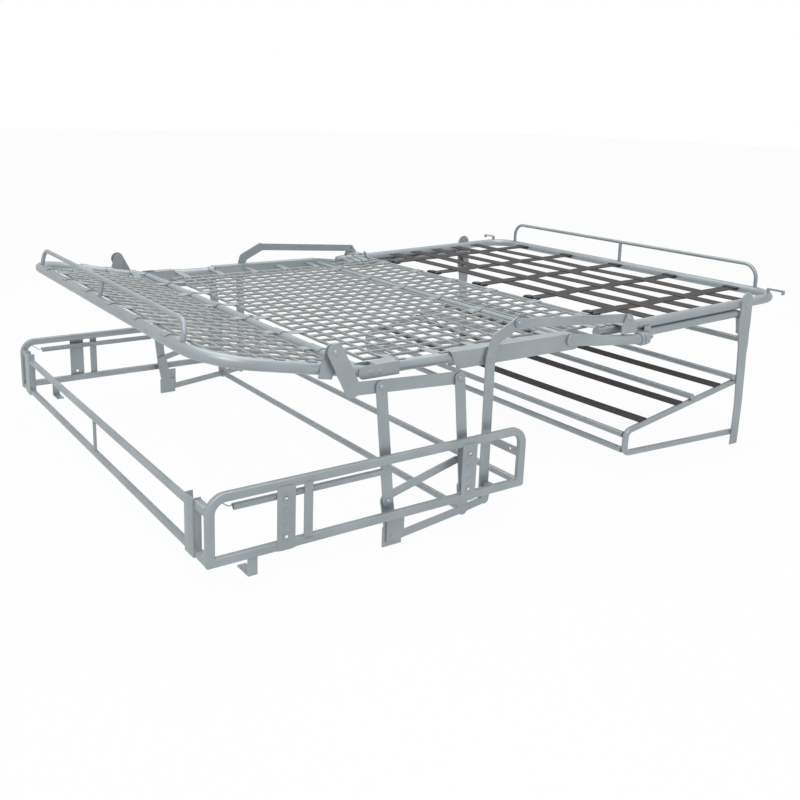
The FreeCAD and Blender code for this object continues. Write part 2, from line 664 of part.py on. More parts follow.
# Head section, hinged between the sleeves.
head_len = size("head_length")
head_bend = size("head_corner")
head_hoop = bent_rod("head_hoop", ((13, -half, 0), (-head_len, -half, 0), (-head_len, half, 0), (13, half, 0)),
                     head_bend, "Sizes.tube_size", head_place)
head_bore = rod("head_bore", (0, -half - 40, 0), (0, half + 40, 0), "Sizes.pin_size + 2 * Sizes.pin_play",
                head_place)
keep("head_frame", cut("head_frame", head_hoop, head_bore))

head_in = -head_len + tube_r + 18
head_out = -tube_r - 12
skew = head_bend * 0.55
outer = [(head_in, -panel_half + skew), (head_in + skew, -panel_half), (head_out, -panel_half),
         (head_out, panel_half), (head_in + skew, panel_half), (head_in, panel_half - skew)]
side_gap = half - tube_r - SEAT - panel_half
keep("head_mesh", lattice("head_mesh", outer, head_place, mesh_low, {
    1: tabs_on(outer[1], outer[2], (0, -side_gap), 2, 12),
    3: tabs_on(outer[3], outer[4], (0, side_gap), 2, 12),
    5: tabs_on(outer[5], outer[0], (-(head_in + head_len - tube_r - SEAT), 0), 6, 12)}))


def mattress_bar(name, along, reach, height, corner, place):
    """A bent wire bar that keeps the mattress from sliding off the end tube."""
    foot = tube_r + SEAT
    hoop = bent_rod(name + "_hoop", ((along, -reach, foot), (along, -reach, height), (along, reach, height),
                                     (along, reach, foot)), corner, "Sizes.bar_size", place)
    middle = rod(name + "_middle", (along, 0, foot), (along, 0, height), "Sizes.bar_size", place)
    return fuse(name, [hoop, middle])


keep("head_mattress_bar", mattress_bar("head_bar", -head_len, half - head_bend, size("head_bar_height"), 34,
                                       head_place))

to_head = head_place.inverse().multVec(Vector(head_pivot[0] + origin_x, 0, head_pivot[1]))
bracket_in = half + tube_r + SEAT
bracket = fuse("head_bracket", [
    plate("head_bracket_plate", [(to_head.x - 34, -12, 0), (to_head.x + 34, -12, 0), (to_head.x + 34, 8, 0),
                                 (to_head.x + 17, to_head.z + 16, 14), (to_head.x - 17, to_head.z + 16, 14),
                                 (to_head.x - 34, 8, 0)], "4", -bracket_in - 2, place=head_place),
    rod("head_bracket_boss", (to_head.x, -bracket_in, to_head.z), (to_head.x, -plate_in + 1.5, to_head.z), "22",
        head_place)])
keep_pair("head_brackets", bracket)

# Foot section: frame, mesh, webbing, struts and legs.
foot_len = size("foot_length")
start = size("foot_rail_start")
keep("foot_frame", bent_rod("foot_hoop", ((start, -half, 0), (foot_len, -half, 0), (foot_len, half, 0),
                                          (start, half, 0)), size("foot_corner"), "Sizes.tube_size", foot_place))
clip_line = size("clip_line")
keep("foot_cross_tube", rod("foot_cross", (clip_line, -half + tube_r + SEAT, 0), (clip_line, half - tube_r - SEAT, 0),
                            "Sizes.base_tube_size", foot_place))
foot_mesh_left = channel_right - foot_x + 16
foot_mesh_right = clip_line - base_r - 11
outer = [(foot_mesh_left, -panel_half), (foot_mesh_right, -panel_half), (foot_mesh_right, panel_half),
         (foot_mesh_left, panel_half)]
keep("foot_mesh", lattice("foot_mesh", outer, foot_place, mesh_low, {
    1: tabs_on(outer[1], outer[2], (clip_line - base_r - SEAT - foot_mesh_right, 0), 6, 12)}))


def foot_edge(along, inset):
    """How far out the foot tube's line lies, moved inwards by an inset, past the start of its bend too."""
    radius = size("foot_corner")
    past = max(0, along - (foot_len - radius))
    return half - radius + math.sqrt((radius - inset) ** 2 - past ** 2)


web_left = clip_line + base_r + SEAT
web_right = foot_len - tube_r - SEAT
strap_w = size("strap_width")
long_pitch = size("long_strap_pitch")
long_straps = [long_pitch * n for n in range(-2, 3)]
cross_count = 8
cross_pitch = (web_right - web_left) / (cross_count + 0.4)
cross_straps = [web_left + cross_pitch * (n + 0.7) for n in range(cross_count)]
straps = []
for n, y in enumerate(long_straps):
    straps.append(block("long_strap_%d" % n, (web_left, y - strap_w / 2, 0), (web_right, y + strap_w / 2, 1),
                        foot_place))
for n, x in enumerate(cross_straps):
    reach = foot_edge(x + strap_w / 2, tube_r) - SEAT
    straps.append(block("cross_strap_%d" % n, (x - strap_w / 2, -reach, 0), (x + strap_w / 2, reach, 1), foot_place))
for strap_box in straps:
    strap_box.setExpression("Height", "Sizes.strap_thick")
keep("foot_webbing", fuse("foot_webbing", straps))

keep("foot_mattress_bar", mattress_bar("foot_bar", foot_len, half - size("foot_corner"), size("foot_bar_height"), 46,
                                       foot_place))

hook_x = foot_len - size("foot_corner") * 0.57
hook_y = foot_edge(hook_x, 0)
hook_low = tube_r + SEAT
hook_reach = size("hook_reach")
hook = fuse("corner_hook", [
    plate("hook_stem", [(hook_x - 5, hook_low, 0), (hook_x + 5, hook_low, 0), (hook_x + 5, hook_low + 15, 0),
                        (hook_x - 5, hook_low + 15, 0)], "6", -hook_y, place=foot_place),
    block("hook_arm", (hook_x - 5, -half - hook_reach, hook_low + 10), (hook_x + 5, -hook_y, hook_low + 15), foot_place),
    block("hook_tip", (hook_x - 5, -half - hook_reach, hook_low + 2), (hook_x + 5, -half - hook_reach + 5, hook_low + 15), foot_place)])
keep_pair("corner_hooks", hook)

to_link = foot_place.inverse().multVec(Vector(link_end[0] + origin_x, 0, link_end[1]))
bracket_top = to_link.z + 12
link_bracket = fuse("link_bracket", [
    plate("link_bracket_ear", [(to_link.x - 22, tube_r + SEAT, 0), (to_link.x + 34, tube_r + SEAT, 0),
                               (to_link.x + 12, bracket_top, 10), (to_link.x - 12, bracket_top, 10)],
          "Sizes.arm_thick", -ear_in - size("arm_thick") / 2, place=foot_place),
    block("link_bracket_foot", (to_link.x - 20, -ear_in, tube_r + SEAT), (to_link.x + 32, -half + 8, tube_r + 4),
          foot_place),
    rod("link_bracket_rivet", (to_link.x, -ear_in, to_link.z), (to_link.x, -link_out - 0.5, to_link.z), "18",
        foot_place)])
keep_pair("link_brackets", link_bracket)

# A strut runs beside the channel to a collar; a bent tube goes on from there, under the rail, to the leg.
strut_r = size("strut_size") / 2
brace_r = size("brace_size") / 2
brace_y = leg_in - SEAT - brace_r
brace_z = -tube_r - brace_r - 3
strut_z = brace_z
collar = size("collar_reach")
lug = collar + 28
leg_x = size("leg_reach")
strut = fuse("leg_strut", [
    plate("strut_flat", strip(((0, 0), (78, -12)), 34), "4.2", -strut_in - 2.1, holes=[(0, 0, hole_r)],
          place=foot_place),
    bent_rod("strut_tube", ((58, -strut_y, -9), (140, -strut_y, strut_z), (lug + 20, -strut_y, strut_z)), 60,
             "Sizes.strut_size", foot_place),
    plate("strut_collar", [(collar, strut_z - strut_r - 4, 0), (collar + 22, strut_z - strut_r - 4, 0),
                           (collar + 22, strut_z + strut_r + 4, 0), (collar, strut_z + strut_r + 4, 0)],
          "Sizes.strut_size + 3", -strut_y - 1.5, place=foot_place),
    block("strut_bridge", (lug, -strut_y, strut_z - 9), (lug + 36, -brace_y, strut_z + 9), foot_place),
    plate("strut_lug", strip(((lug + 18, strut_z), (lug + 18, 0)), 30), "4", -leg_in - 2, place=foot_place),
    bent_rod("leg_brace", ((lug + 6, -brace_y, brace_z), (leg_x - 26, -brace_y, brace_z - 10),
                           (leg_x - 4, -brace_y, brace_z - 66)), 32, "Sizes.brace_size", foot_place)])
keep_pair("leg_struts", strut)

leg_head = foot_place.multVec(Vector(leg_x, 0, -5))
leg_top_x = leg_head.x - origin_x
leg_top_z = leg_head.z
leg_foot = leg_top_x + size("leg_lean")
leg_w = size("leg_width")
leg_f = size("leg_foot_width")
leg_mid_y = leg_in + size("leg_thick") / 2
waist = size("leg_waist") / 2
waist_x = leg_top_x + size("leg_lean") * 0.3
waist_z = leg_top_z - size("leg_waist_drop")
narrow_z = leg_top_z - size("leg_head_drop")
crown_z = leg_top_z + size("leg_head_rise")
leg = plate("leg", [(leg_foot - leg_f / 2, 0, 0), (leg_foot + leg_f / 2, 0, 0),
                    (waist_x + waist, waist_z, 60), (leg_top_x + leg_w / 2, narrow_z, 40),
                    (leg_top_x + leg_w / 2 - 8, crown_z, 16), (leg_top_x - leg_w / 2 + 8, crown_z, 16),
                    (leg_top_x - leg_w / 2, narrow_z, 40), (waist_x - waist, waist_z, 60)],
            "Sizes.leg_thick", -leg_mid_y)
keep_pair("leg_plates", leg)
leg_cross = (waist_x, leg_top_z - size("leg_tube_drop"))
keep("leg_cross_tube", rod("leg_cross", (leg_cross[0], -leg_in, leg_cross[1]), (leg_cross[0], leg_in, leg_cross[1]),
                           "Sizes.base_tube_size"))

# Seat frame under the foot section: a wedge on each side, cross tubes and webbing.
seat_y = leg_in - SEAT - back_r
seat_front = foot_x + size("seat_reach")
seat_rear = leg_foot + 2
front_high = size("seat_front_high")
rear_high = size("seat_rear_high")
front_low = size("seat_front_low")
wedge = bent_rod("seat_wedge", ((seat_rear, -seat_y, rear_high), (seat_front, -seat_y, front_high),
                                (seat_front, -seat_y, front_low), (seat_rear, -seat_y, size("seat_rear_low"))),
                 20, "Sizes.back_tube_size")
keep_each("seat_side", wedge)


def slope(x):
    """Height of the upper seat tube's centre."""
    return front_high + (x - seat_front) * (rear_high - front_high) / (seat_rear - seat_front)


cross_in = seat_y - back_r - SEAT
on_top = 2 * back_r + 2 * SEAT
seat_middle = seat_front + size("seat_tube_reach")
seat_lines = [(seat_front, front_low + 8, cross_in), (seat_front, front_high - 12, cross_in),
              (seat_middle, slope(seat_middle) + on_top, leg_in - SEAT),
              (seat_rear - 37, slope(seat_rear - 37) + on_top, leg_in)]
seat_tubes = []
for n, (x, z, reach) in enumerate(seat_lines):
    seat_tubes.append(rod("seat_tube_%d" % n, (x, -reach, z), (x, reach, z), "Sizes.back_tube_size"))
keep_set("seat_cross_tubes", seat_tubes)

seat_tilt = Rotation(Vector(0, 1, 0), -math.degrees(math.atan2(rear_high - front_high, seat_rear - seat_front)))
seat_strap_half = size("seat_strap_width") / 2
seat_straps = []
first_strap = seat_front + size("seat_strap_reach")
for n, x in enumerate((first_strap, first_strap + size("seat_strap_pitch"), seat_rear - size("seat_rear_strap"))):
    place = Placement(Vector(x + origin_x, 0, slope(x)), seat_tilt)
    seat_straps.append(block("seat_strap_%d" % n, (-seat_strap_half, -seat_y, back_r + SEAT),
                             (seat_strap_half, seat_y, back_r + SEAT + size("strap_thick")), place))
keep_set("seat_webbing", seat_straps)

doc.recompute()
os.makedirs("parts", exist_ok=True)
for thing in doc.Objects:
    state = [word for word in thing.State if word in ("Invalid", "Error")]
    if state:
        raise RuntimeError("%s is %s" % (thing.Label, state))
for thing in nodes:
    if thing.Shape.isNull() or not thing.Shape.isValid() or not thing.Shape.Solids:
        raise RuntimeError("%s has no valid solid" % thing.Label)
    thing.Shape.exportStep("parts/%s.step" % thing.Label)
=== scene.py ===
"""Looks of a sofa bed mechanism: painted steel, woven wire meshes, elastic webbing, springs and rivets.

Lengths are in metres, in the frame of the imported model: X from the head end to the foot end, Z up.
"""

import json
import math

import bmesh
import bpy
from bpy.props import FloatProperty, FloatVectorProperty, PointerProperty
from mathutils import Matrix, Vector


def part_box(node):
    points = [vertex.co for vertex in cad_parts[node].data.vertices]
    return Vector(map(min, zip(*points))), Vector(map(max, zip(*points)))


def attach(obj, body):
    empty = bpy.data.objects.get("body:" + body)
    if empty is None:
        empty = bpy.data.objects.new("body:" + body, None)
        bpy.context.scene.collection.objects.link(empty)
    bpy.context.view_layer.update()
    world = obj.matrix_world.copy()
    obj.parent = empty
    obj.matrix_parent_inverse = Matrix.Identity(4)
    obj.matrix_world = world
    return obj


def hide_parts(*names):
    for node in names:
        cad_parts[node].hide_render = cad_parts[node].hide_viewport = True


bl_info = {
    "name": "Sofa Bed Mechanism Looks",
    "version": (1, 0, 0),
    "blender": (4, 5, 0),
    "location": "View3D > Sidebar > Mechanism",
    "description": "Builds the wire, webbing, springs, rivets and finish of a folding bed frame",
    "category": "Object",
}

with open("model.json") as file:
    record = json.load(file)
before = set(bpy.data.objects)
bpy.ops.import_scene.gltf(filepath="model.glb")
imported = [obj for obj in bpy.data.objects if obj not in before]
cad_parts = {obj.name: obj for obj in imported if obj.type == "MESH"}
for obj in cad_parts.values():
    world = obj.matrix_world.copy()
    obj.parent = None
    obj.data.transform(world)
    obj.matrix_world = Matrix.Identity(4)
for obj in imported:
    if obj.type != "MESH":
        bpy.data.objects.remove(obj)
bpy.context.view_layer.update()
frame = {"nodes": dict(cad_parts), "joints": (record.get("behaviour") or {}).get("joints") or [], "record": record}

SIDES = (-1, 1)
PAINT_FINISH = "satin_silver"
ACROSS_TURN = Matrix.Rotation(math.pi / 2, 4, "X")
MERGE_DISTANCE = 0.00001
TOLERANCE = 1e-6
EASE_SHARE = 0.3

# Scales of the material textures.
BLOTCH_SCALE = 9.0
SCUFF_SCALE = 60.0
PEEL_SCALE = 900.0
GRAIN_SCALE = 700.0
WEAVE_SCALE = 160.0
FLOOR_SCALE = 3.0

# Main lines of the frame.
HEAD_RISE = math.radians(10.9)
FOOT_RISE = math.radians(1.75)
TUBE_RADIUS = 0.014
THIN_TUBE_RADIUS = 0.009
CLIP_ROD_RADIUS = 0.0045
RAIL_LINE = 0.650
RAIL_UNDER = 0.2260
CHANNEL_SIDE = 0.667
TRUSS_FACE = 0.6845

# Rolled edges of the bars.
EDGE_ROUND = {
    "near_side_frame": 0.0034, "far_side_frame": 0.0034, "rear_posts": 0.0018, "front_cross_bar": 0.0010,
    "near_side_channel": 0.0022, "far_side_channel": 0.0022,
}
ROLL_ANGLE = math.radians(40)

# Mounting plates, with depths inwards from their outer face, and the strap beside the rear one.
MOUNT_WIDTH = 0.045
MOUNT_TOP = 0.2290
MOUNT_BACK = 0.0030
FLANGE_DEPTH = 0.0026
CROWN_DEPTH = 0.0013
CROWN_BASE = 0.0155
CROWN_EDGE = 0.0130
RELIEF_DEPTH = 0.0012
RIB_SIZE = (0.018, 0.0022, 0.007)
RIB_RISE = 0.017
PAD_SIZE = (0.017, 0.0022, 0.017)
BOLT_SPACING = 0.090
BOLT_HEIGHT = 0.157
BOLT_RADIUS = 0.00425
BOLT_DEPTH = 0.02
STRAP_GAP = 0.022
STRAP_WIDE = 0.022
STRAP_THICK = 0.004
STRAP_LINE = 0.7165
STRAP_SPAN = (0.0940, 0.2300)
STRAP_RIVET_RISE = 0.028
STRAP_RIVET_SIZE = (0.0035, 0.0016)

# Struts of the foot section: a tube with a flat rear end, a clamp round it and a brace under the rail.
STRUT_RADIUS = 0.0142
STRUT_FLAT = 0.0021
STRUT_CLEAR = 0.0015
STRUT_LINE = CHANNEL_SIDE + STRUT_RADIUS + 0.0006
STRUT_DROP = -0.031
COLLAR_PLACE = 0.250
# Each ring of the tube: its place, its share of the full section and its half height.
STRUT_RINGS = (
    (-0.0160, 0.0, 0.0020), (-0.0146, 0.0, 0.0066), (-0.0110, 0.0, 0.0118), (-0.0050, 0.0, 0.0156),
    (0.0020, 0.0, 0.0164), (0.062, 0.0, 0.0164), (0.076, 0.18, 0.0161), (0.088, 0.52, 0.0154),
    (0.100, 0.84, 0.0147), (0.114, 1.0, STRUT_RADIUS), (COLLAR_PLACE + 0.034, 1.0, STRUT_RADIUS),
)
BAND_PLACES = (COLLAR_PLACE, COLLAR_PLACE + 0.0125)
BAND_REACH = STRUT_RADIUS + 0.0035
BAND_PROFILE = ((0, 0.0012), (0.0012, 0), (0.0083, 0), (0.0095, 0.0012))
BAND_SQUARE = 3.2
BRIDGE_PLACE = 0.297
BRIDGE_LENGTH = 0.034
BRIDGE_HEIGHT = 0.020
BRIDGE_INNER = RAIL_LINE + 0.004
SADDLE_PLACE = (0.303, RAIL_LINE + TUBE_RADIUS + 0.002, -0.016)
SADDLE_SIZE = (0.026, 0.0040, 0.024)
CLAMP_BOLTS = (0.289, 0.305)
CLAMP_BOLT_SIZE = (0.0050, 0.0030)
FLAT_SQUARE = 7
ROUND_SQUARE = 2
BRACE_RADIUS = 0.0125
BRACE_LINE = -TUBE_RADIUS - BRACE_RADIUS
BRACE_CORNERS = ((0.284, BRACE_LINE), (0.752, BRACE_LINE - 0.001), (0.761, BRACE_LINE - 0.066))
BRACE_BEND = 0.034
STRUT_SHARP_ANGLE = math.radians(35)

# Leg plates, measured from the rivet in the head.
LEG_PLACE = 0.757
LEG_RIVET_DROP = -0.005
LEG_LEAN = 0.022
LEG_FOOT_WIDTHS = (0.0175, 0.0175)
LEG_SHIN_WIDTHS = (0.016, 0.019)
LEG_SHIN_SHARE = 0.3
# Each level above the shin: its share of the lean, its drop, and its reach to the right and to the left.
LEG_LEVELS = (
    (0.3, 0.150, 0.0205, 0.0205), (0.3, 0.125, 0.0222, 0.0222), (0.0, 0.080, 0.0262, 0.0268),
    (0.0, 0.060, 0.0272, 0.0282), (0.0, 0.020, 0.0252, 0.0288),
)
LEG_HEAD_CENTRE = (-0.0025, 0.016)
LEG_HEAD_RADII = (0.0265, 0.027)
LEG_HEAD_STEPS = 12
PLATE_EDGE = 0.0008

# Brackets. An ear is a foot, a crown round the pin and a rear corner: x from the pin, z from the rail.
EAR_THICK = 0.004
CROWN_STEPS = 8
LINK_RIVET = (0.198, 0, 0.041)
LINK_EAR = (((-0.028, -0.006), (0.034, -0.008), (0.034, 0.010)), (0.0125, 25, 155), (-0.026, 0.012))
LINK_BOSS_RADIUS = 0.009
LINK_CLEAR = 0.0005
LINK_FLAT_START = RAIL_LINE - 0.008
LINK_FLAT_PLACE = (0.004, TUBE_RADIUS + 0.0021)
LINK_FLAT_SIZE = (0.052, 0.0037)
HEAD_PIN = (-0.086, 0, 0.062)
HEAD_EAR = (((-0.022, -0.019), (0.013, -0.019), (0.017, 0.012)), (0.0170, -10, 190), (-0.021, 0.012))
HEAD_EAR_INNER = RAIL_LINE + TUBE_RADIUS + 0.0003
HEAD_BOSS_RADIUS = 0.011
SHOE_OUTLINE = ((0, 0.0125), (0.0378, 0.0105), (0.0506, 0.0185), (0.0506, 0.083), (0, 0.083))
SHOE_RIVET = (0.0131, 0.024)
SHOE_RIVET_SIZE = (0.0045, 0.0020)

# Wire meshes. Each panel has a side gap, a clipped corner and two ends. An end is its inset from the solid,
# its gap to the tube, the radius of the tube's room and the radius that the hooks go over.
OPEN_END = (0.0, 0.0, 0.0, 0.0)
PANELS = (
    ("head_wire", "head_mesh", "head_section", 0.030, 0.066,
     ((0.034, 0.034, TUBE_RADIUS, TUBE_RADIUS), (0.0, 0.012, TUBE_RADIUS, TUBE_RADIUS))),
    ("middle_wire", "middle_mesh", "middle_section", 0.036, 0.0,
     ((0.044, 0.044, TUBE_RADIUS, TUBE_RADIUS), (0.0127, 0.0127, THIN_TUBE_RADIUS, THIN_TUBE_RADIUS))),
    ("foot_wire", "foot_mesh", "foot_section", 0.016, 0.0,
     (OPEN_END, (0.0107, 0.0107, THIN_TUBE_RADIUS, CLIP_ROD_RADIUS))),
)
WEAVE_SHARE = 0.12
SHORTEST_END = 0.004
HOOK_THICK = 0.0016
HOOK_CLASP = ((0.009, -0.001), (0.006, 0.0035), (0.0, 0.0048))
END_HOOKS = 6
END_HOOK_ARC = range(25, 146, 20)
SIDE_HOOK_ARC = range(30, 106, 15)
SIDE_HOOK_PITCH = 0.125
SIDE_HOOK_SHARE = 0.8
SIDE_HOOK_INSET = 0.05
SIDE_HOOK_CLEAR = 0.02

# Webbing of the foot section. A clip's block is its place from the strap's end, lift, length, share of the
# width, and height.
LONG_STRAP_PITCH = 0.245
CROSS_STRAPS = 5
CROSS_STRAP_START = 0.375
CROSS_STRAP_PITCH = 0.104
STRAP_LIFT_SHARE = 0.55
CLIP_MARGIN = 0.006
FIRST_CLIP = ((0.016, 0.0005, 0.030, 1.0, 0.009), (0.003, 0.005, 0.016, 0.6, 0.008))
LAST_CLIP = ((-0.010, 0.0005, 0.020, 1.0, 0.008), (-0.004, -0.0045, 0.012, 0.8, 0.007))
CLIP_ROD_STRAIGHT = 0.012
CLIP_ROD_ARC = range(20, 101, 20)
FOOT_BEND = 0.088
STRAP_END_CLEAR = 0.0005

# Webbing of the seat frame.
SEAT_TILT = math.atan2(0.084, 0.507)
SEAT_HEIGHT = 0.126
SEAT_STRAPS = (0.070, 0.227, 0.405)
SEAT_SAG = 0.006
SEAT_STEPS = (-1, -0.75, -0.5, -0.25, 0, 0.25, 0.5, 0.75, 1)

# Tie springs.
COIL_STEPS = 12
COIL_PITCH_SHARE = 1.04
COIL_START = 0.044
COIL_END = 0.008
SPRING_HOOK = 0.038
SPRING_NECK = (0.010, 0.003)
SPRING_TAIL = 0.003

# Rivets.
FLUSH_HEIGHT = 0.0010
ARM_RIVET_RISE = 0.0010
LINK_RIVET_RISE = 0.0008
FRONT_RIVET_SINK = 0.0058
SLEEVE_RIVETS = (0.018, 0.044)
DOME_PROFILE = ((1.08, 0.0), (1.06, 0.14), (1.0, 0.20), (0.93, 0.58), (0.72, 0.86), (0.38, 1.0))

# Camera of the photograph, and the lights as name, place, size and power.
CAMERA_PLACE = (-1.7129, -2.2865, 1.0031)
CAMERA_YAW = 0.5911
CAMERA_PITCH = 0.2474
CAMERA_ROLL = -0.0277
FOCAL_PIXELS = 921.2
PHOTO_PIXELS = 800
LENS_CENTRE = (355.4, 339.4)
SENSOR = 36.0
LIGHTS = (("key", (-2.0, -2.6, 3.4), 2.5, 62.0), ("top", (0.3, 0.4, 3.6), 3.0, 62.0))
LIGHT_AIM = (0, 0, 0.3)
FLOOR_HALF = 30.0
FLOOR_DROP = -0.0005


class MechanismLook(bpy.types.PropertyGroup):
    """Sizes and colours that the operators share."""

    paint: FloatVectorProperty(name="Paint", description="Satin silver paint of the steel", subtype="COLOR",
                               size=3, default=(0.352, 0.395, 0.415))
    wire: FloatVectorProperty(name="Wire", description="Galvanised wire of the meshes", subtype="COLOR",
                              size=3, default=(0.315, 0.333, 0.337))
    webbing: FloatVectorProperty(name="Webbing", description="Elastic straps", subtype="COLOR",
                                 size=3, default=(0.034, 0.027, 0.028))
    clip: FloatVectorProperty(name="Clip", description="Moulded strap clips", subtype="COLOR",
                              size=3, default=(0.012, 0.012, 0.013))
    wire_radius: FloatProperty(name="Wire radius", description="Radius of the mesh wires",
                               default=0.0040, unit="LENGTH")
    wire_pitch: FloatProperty(name="Wire pitch", description="Spacing of the mesh wires",
                              default=0.050, unit="LENGTH")
    hook_width: FloatProperty(name="Hook width", description="Width of the flat mesh hooks",
                              default=0.030, unit="LENGTH")
    strap_width: FloatProperty(name="Strap width", description="Width of the foot straps",
                               default=0.044, unit="LENGTH")
    strap_thick: FloatProperty(name="Strap thickness", description="Thickness of the webbing",
                               default=0.0022, unit="LENGTH")
    seat_strap_width: FloatProperty(name="Seat strap width", description="Width of the seat straps",
                                    default=0.034, unit="LENGTH")
    coil_wire: FloatProperty(name="Spring wire", description="Wire of the tie springs",
                             default=0.0026, unit="LENGTH")
    coil_radius: FloatProperty(name="Spring radius", description="Outer radius of the tie springs",
                               default=0.0080, unit="LENGTH")
    rivet_radius: FloatProperty(name="Rivet radius", description="Radius of the pivot rivets",
                                default=0.0065, unit="LENGTH")
    rivet_height: FloatProperty(name="Rivet height", description="Height of the rivet heads",
                                default=0.0032, unit="LENGTH")


def settings():
    return bpy.context.scene.mechanism_look


def silver():
    return bpy.data.materials[PAINT_FINISH]


def joint_place(name):
    """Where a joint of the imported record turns, on the middle plane."""
    return Vector(next(joint["pos_m"] for joint in frame["joints"] if joint["name"] == name))


def head_frame():
    return Matrix.Translation(joint_place("head_fold")) @ Matrix.Rotation(HEAD_RISE, 4, "Y")


def foot_frame():
    return Matrix.Translation(joint_place("foot_fold")) @ Matrix.Rotation(-FOOT_RISE, 4, "Y")


def middle_frame():
    return Matrix.Translation(joint_place("head_fold"))


def local_box(node, place):
    """Lowest and highest corner of a CAD node in a tilted frame."""
    back = place.inverted()
    corners = [back @ vertex.co for vertex in frame["nodes"][node].data.vertices]
    low = Vector(min(corner[axis] for corner in corners) for axis in range(3))
    high = Vector(max(corner[axis] for corner in corners) for axis in range(3))
    return low, high


def new_material(name):
    material = bpy.data.materials.new(name)
    material.use_nodes = True
    tree = material.node_tree
    return material, tree, tree.nodes["Principled BSDF"]


def noise(tree, scale, detail):
    """A noise texture on the object's own coordinates."""
    place = tree.nodes.new("ShaderNodeTexCoord")
    texture = tree.nodes.new("ShaderNodeTexNoise")
    texture.inputs["Scale"].default_value = scale
    texture.inputs["Detail"].default_value = detail
    tree.links.new(place.outputs["Object"], texture.inputs["Vector"])
    return texture


def ramp(tree, source, low, high, start=0.3, end=0.7):
    """Two colours spread over a texture's range."""
    band = tree.nodes.new("ShaderNodeValToRGB")
    band.color_ramp.elements[0].position = start
    band.color_ramp.elements[0].color = (*low, 1)
    band.color_ramp.elements[1].position = end
    band.color_ramp.elements[1].color = (*high, 1)
    tree.links.new(source, band.inputs["Fac"])
    return band


def spread(tree, source, low, high):
    """A number that follows a texture between two values."""
    span = tree.nodes.new("ShaderNodeMapRange")
    span.inputs["To Min"].default_value = low
    span.inputs["To Max"].default_value = high
    tree.links.new(source, span.inputs["Value"])
    return span


def bump(tree, shader, source, distance, strength):
    relief = tree.nodes.new("ShaderNodeBump")
    relief.inputs["Strength"].default_value = strength
    relief.inputs["Distance"].default_value = distance
    tree.links.new(source, relief.inputs["Height"])
    tree.links.new(relief.outputs["Normal"], shader.inputs["Normal"])


def tinted(colour, share):
    return tuple(channel * share for channel in colour)


def metal(name, colour, metallic, rough):
    """Painted or plated steel with faint blotches, scuffs and an orange-peel surface."""
    material, tree, shader = new_material(name)
    blotch = noise(tree, BLOTCH_SCALE, 4.0)
    band = ramp(tree, blotch.outputs["Fac"], tinted(colour, 0.9), tinted(colour, 1.08))
    tree.links.new(band.outputs["Color"], shader.inputs["Base Color"])
    shader.inputs["Metallic"].default_value = metallic
    scuff = noise(tree, SCUFF_SCALE, 6.0)
    sheen = spread(tree, scuff.outputs["Fac"], rough - 0.09, rough + 0.12)
    tree.links.new(sheen.outputs["Result"], shader.inputs["Roughness"])
    peel = noise(tree, PEEL_SCALE, 2.0)
    bump(tree, shader, peel.outputs["Fac"], 0.0002, 0.25)
    return material


def woven(name, colour):
    """Elastic webbing: fine ribs along and across, with a soft sheen."""
    material, tree, shader = new_material(name)
    place = tree.nodes.new("ShaderNodeTexCoord")
    ribs = []
    for direction in ("X", "Y"):
        rib = tree.nodes.new("ShaderNodeTexWave")
        rib.bands_direction = direction
        rib.inputs["Scale"].default_value = WEAVE_SCALE
        rib.inputs["Distortion"].default_value = 0.6
        tree.links.new(place.outputs["Object"], rib.inputs["Vector"])
        ribs.append(rib)
    weave = tree.nodes.new("ShaderNodeMath")
    weave.operation = "MULTIPLY"
    tree.links.new(ribs[0].outputs["Fac"], weave.inputs[0])
    tree.links.new(ribs[1].outputs["Fac"], weave.inputs[1])
    band = ramp(tree, weave.outputs["Value"], tinted(colour, 0.7), tinted(colour, 1.5), 0.0, 1.0)
    tree.links.new(band.outputs["Color"], shader.inputs["Base Color"])
    shader.inputs["Roughness"].default_value = 0.85
    shader.inputs["Sheen Weight"].default_value = 0.1
    bump(tree, shader, weave.outputs["Value"], 0.0004, 0.6)
    return material


def plastic(name, colour):
    """Moulded plastic with a fine grained surface."""
    material, tree, shader = new_material(name)
    grain = noise(tree, GRAIN_SCALE, 2.0)
    band = ramp(tree, grain.outputs["Fac"], tinted(colour, 0.8), tinted(colour, 1.2))
    tree.links.new(band.outputs["Color"], shader.inputs["Base Color"])
    shader.inputs["Roughness"].default_value = 0.5
    bump(tree, shader, grain.outputs["Fac"], 0.0002, 0.3)
    return material


def finish_piece(name, shape, material, body, place=Matrix.Identity(4), replaced=(), smooth=False):
    """Puts a new mesh in the scene, gives it its material and lets it ride on a body."""
    mesh = mesh_from(shape, name, smooth) if isinstance(shape, bmesh.types.BMesh) else shape
    mesh.transform(place)
    mesh.materials.clear()
    mesh.materials.append(material)
    piece = bpy.data.objects.new(name, mesh)
    bpy.context.scene.collection.objects.link(piece)
    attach(piece, body)
    if replaced:
        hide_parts(*replaced)
    return piece


def wires_to_mesh(name, lines, radius, sides=1):
    """Round wires along lines of points, as one mesh; a line that ends where it starts is a closed ring."""
    curve = bpy.data.curves.new(name, "CURVE")
    curve.dimensions = "3D"
    curve.bevel_depth = radius
    curve.bevel_resolution = sides
    curve.use_fill_caps = True
    for points in lines:
        spline = curve.splines.new("POLY")
        if points[0] == points[-1]:
            spline.use_cyclic_u = True
            points = points[:-1]
        spline.points.add(len(points) - 1)
        for target, point in zip(spline.points, points):
            target.co = (*point, 1)
    holder = bpy.data.objects.new(name + "_lines", curve)
    mesh = bpy.data.meshes.new_from_object(holder)
    bpy.data.objects.remove(holder)
    bpy.data.curves.remove(curve)
    mesh.shade_smooth()
    return mesh


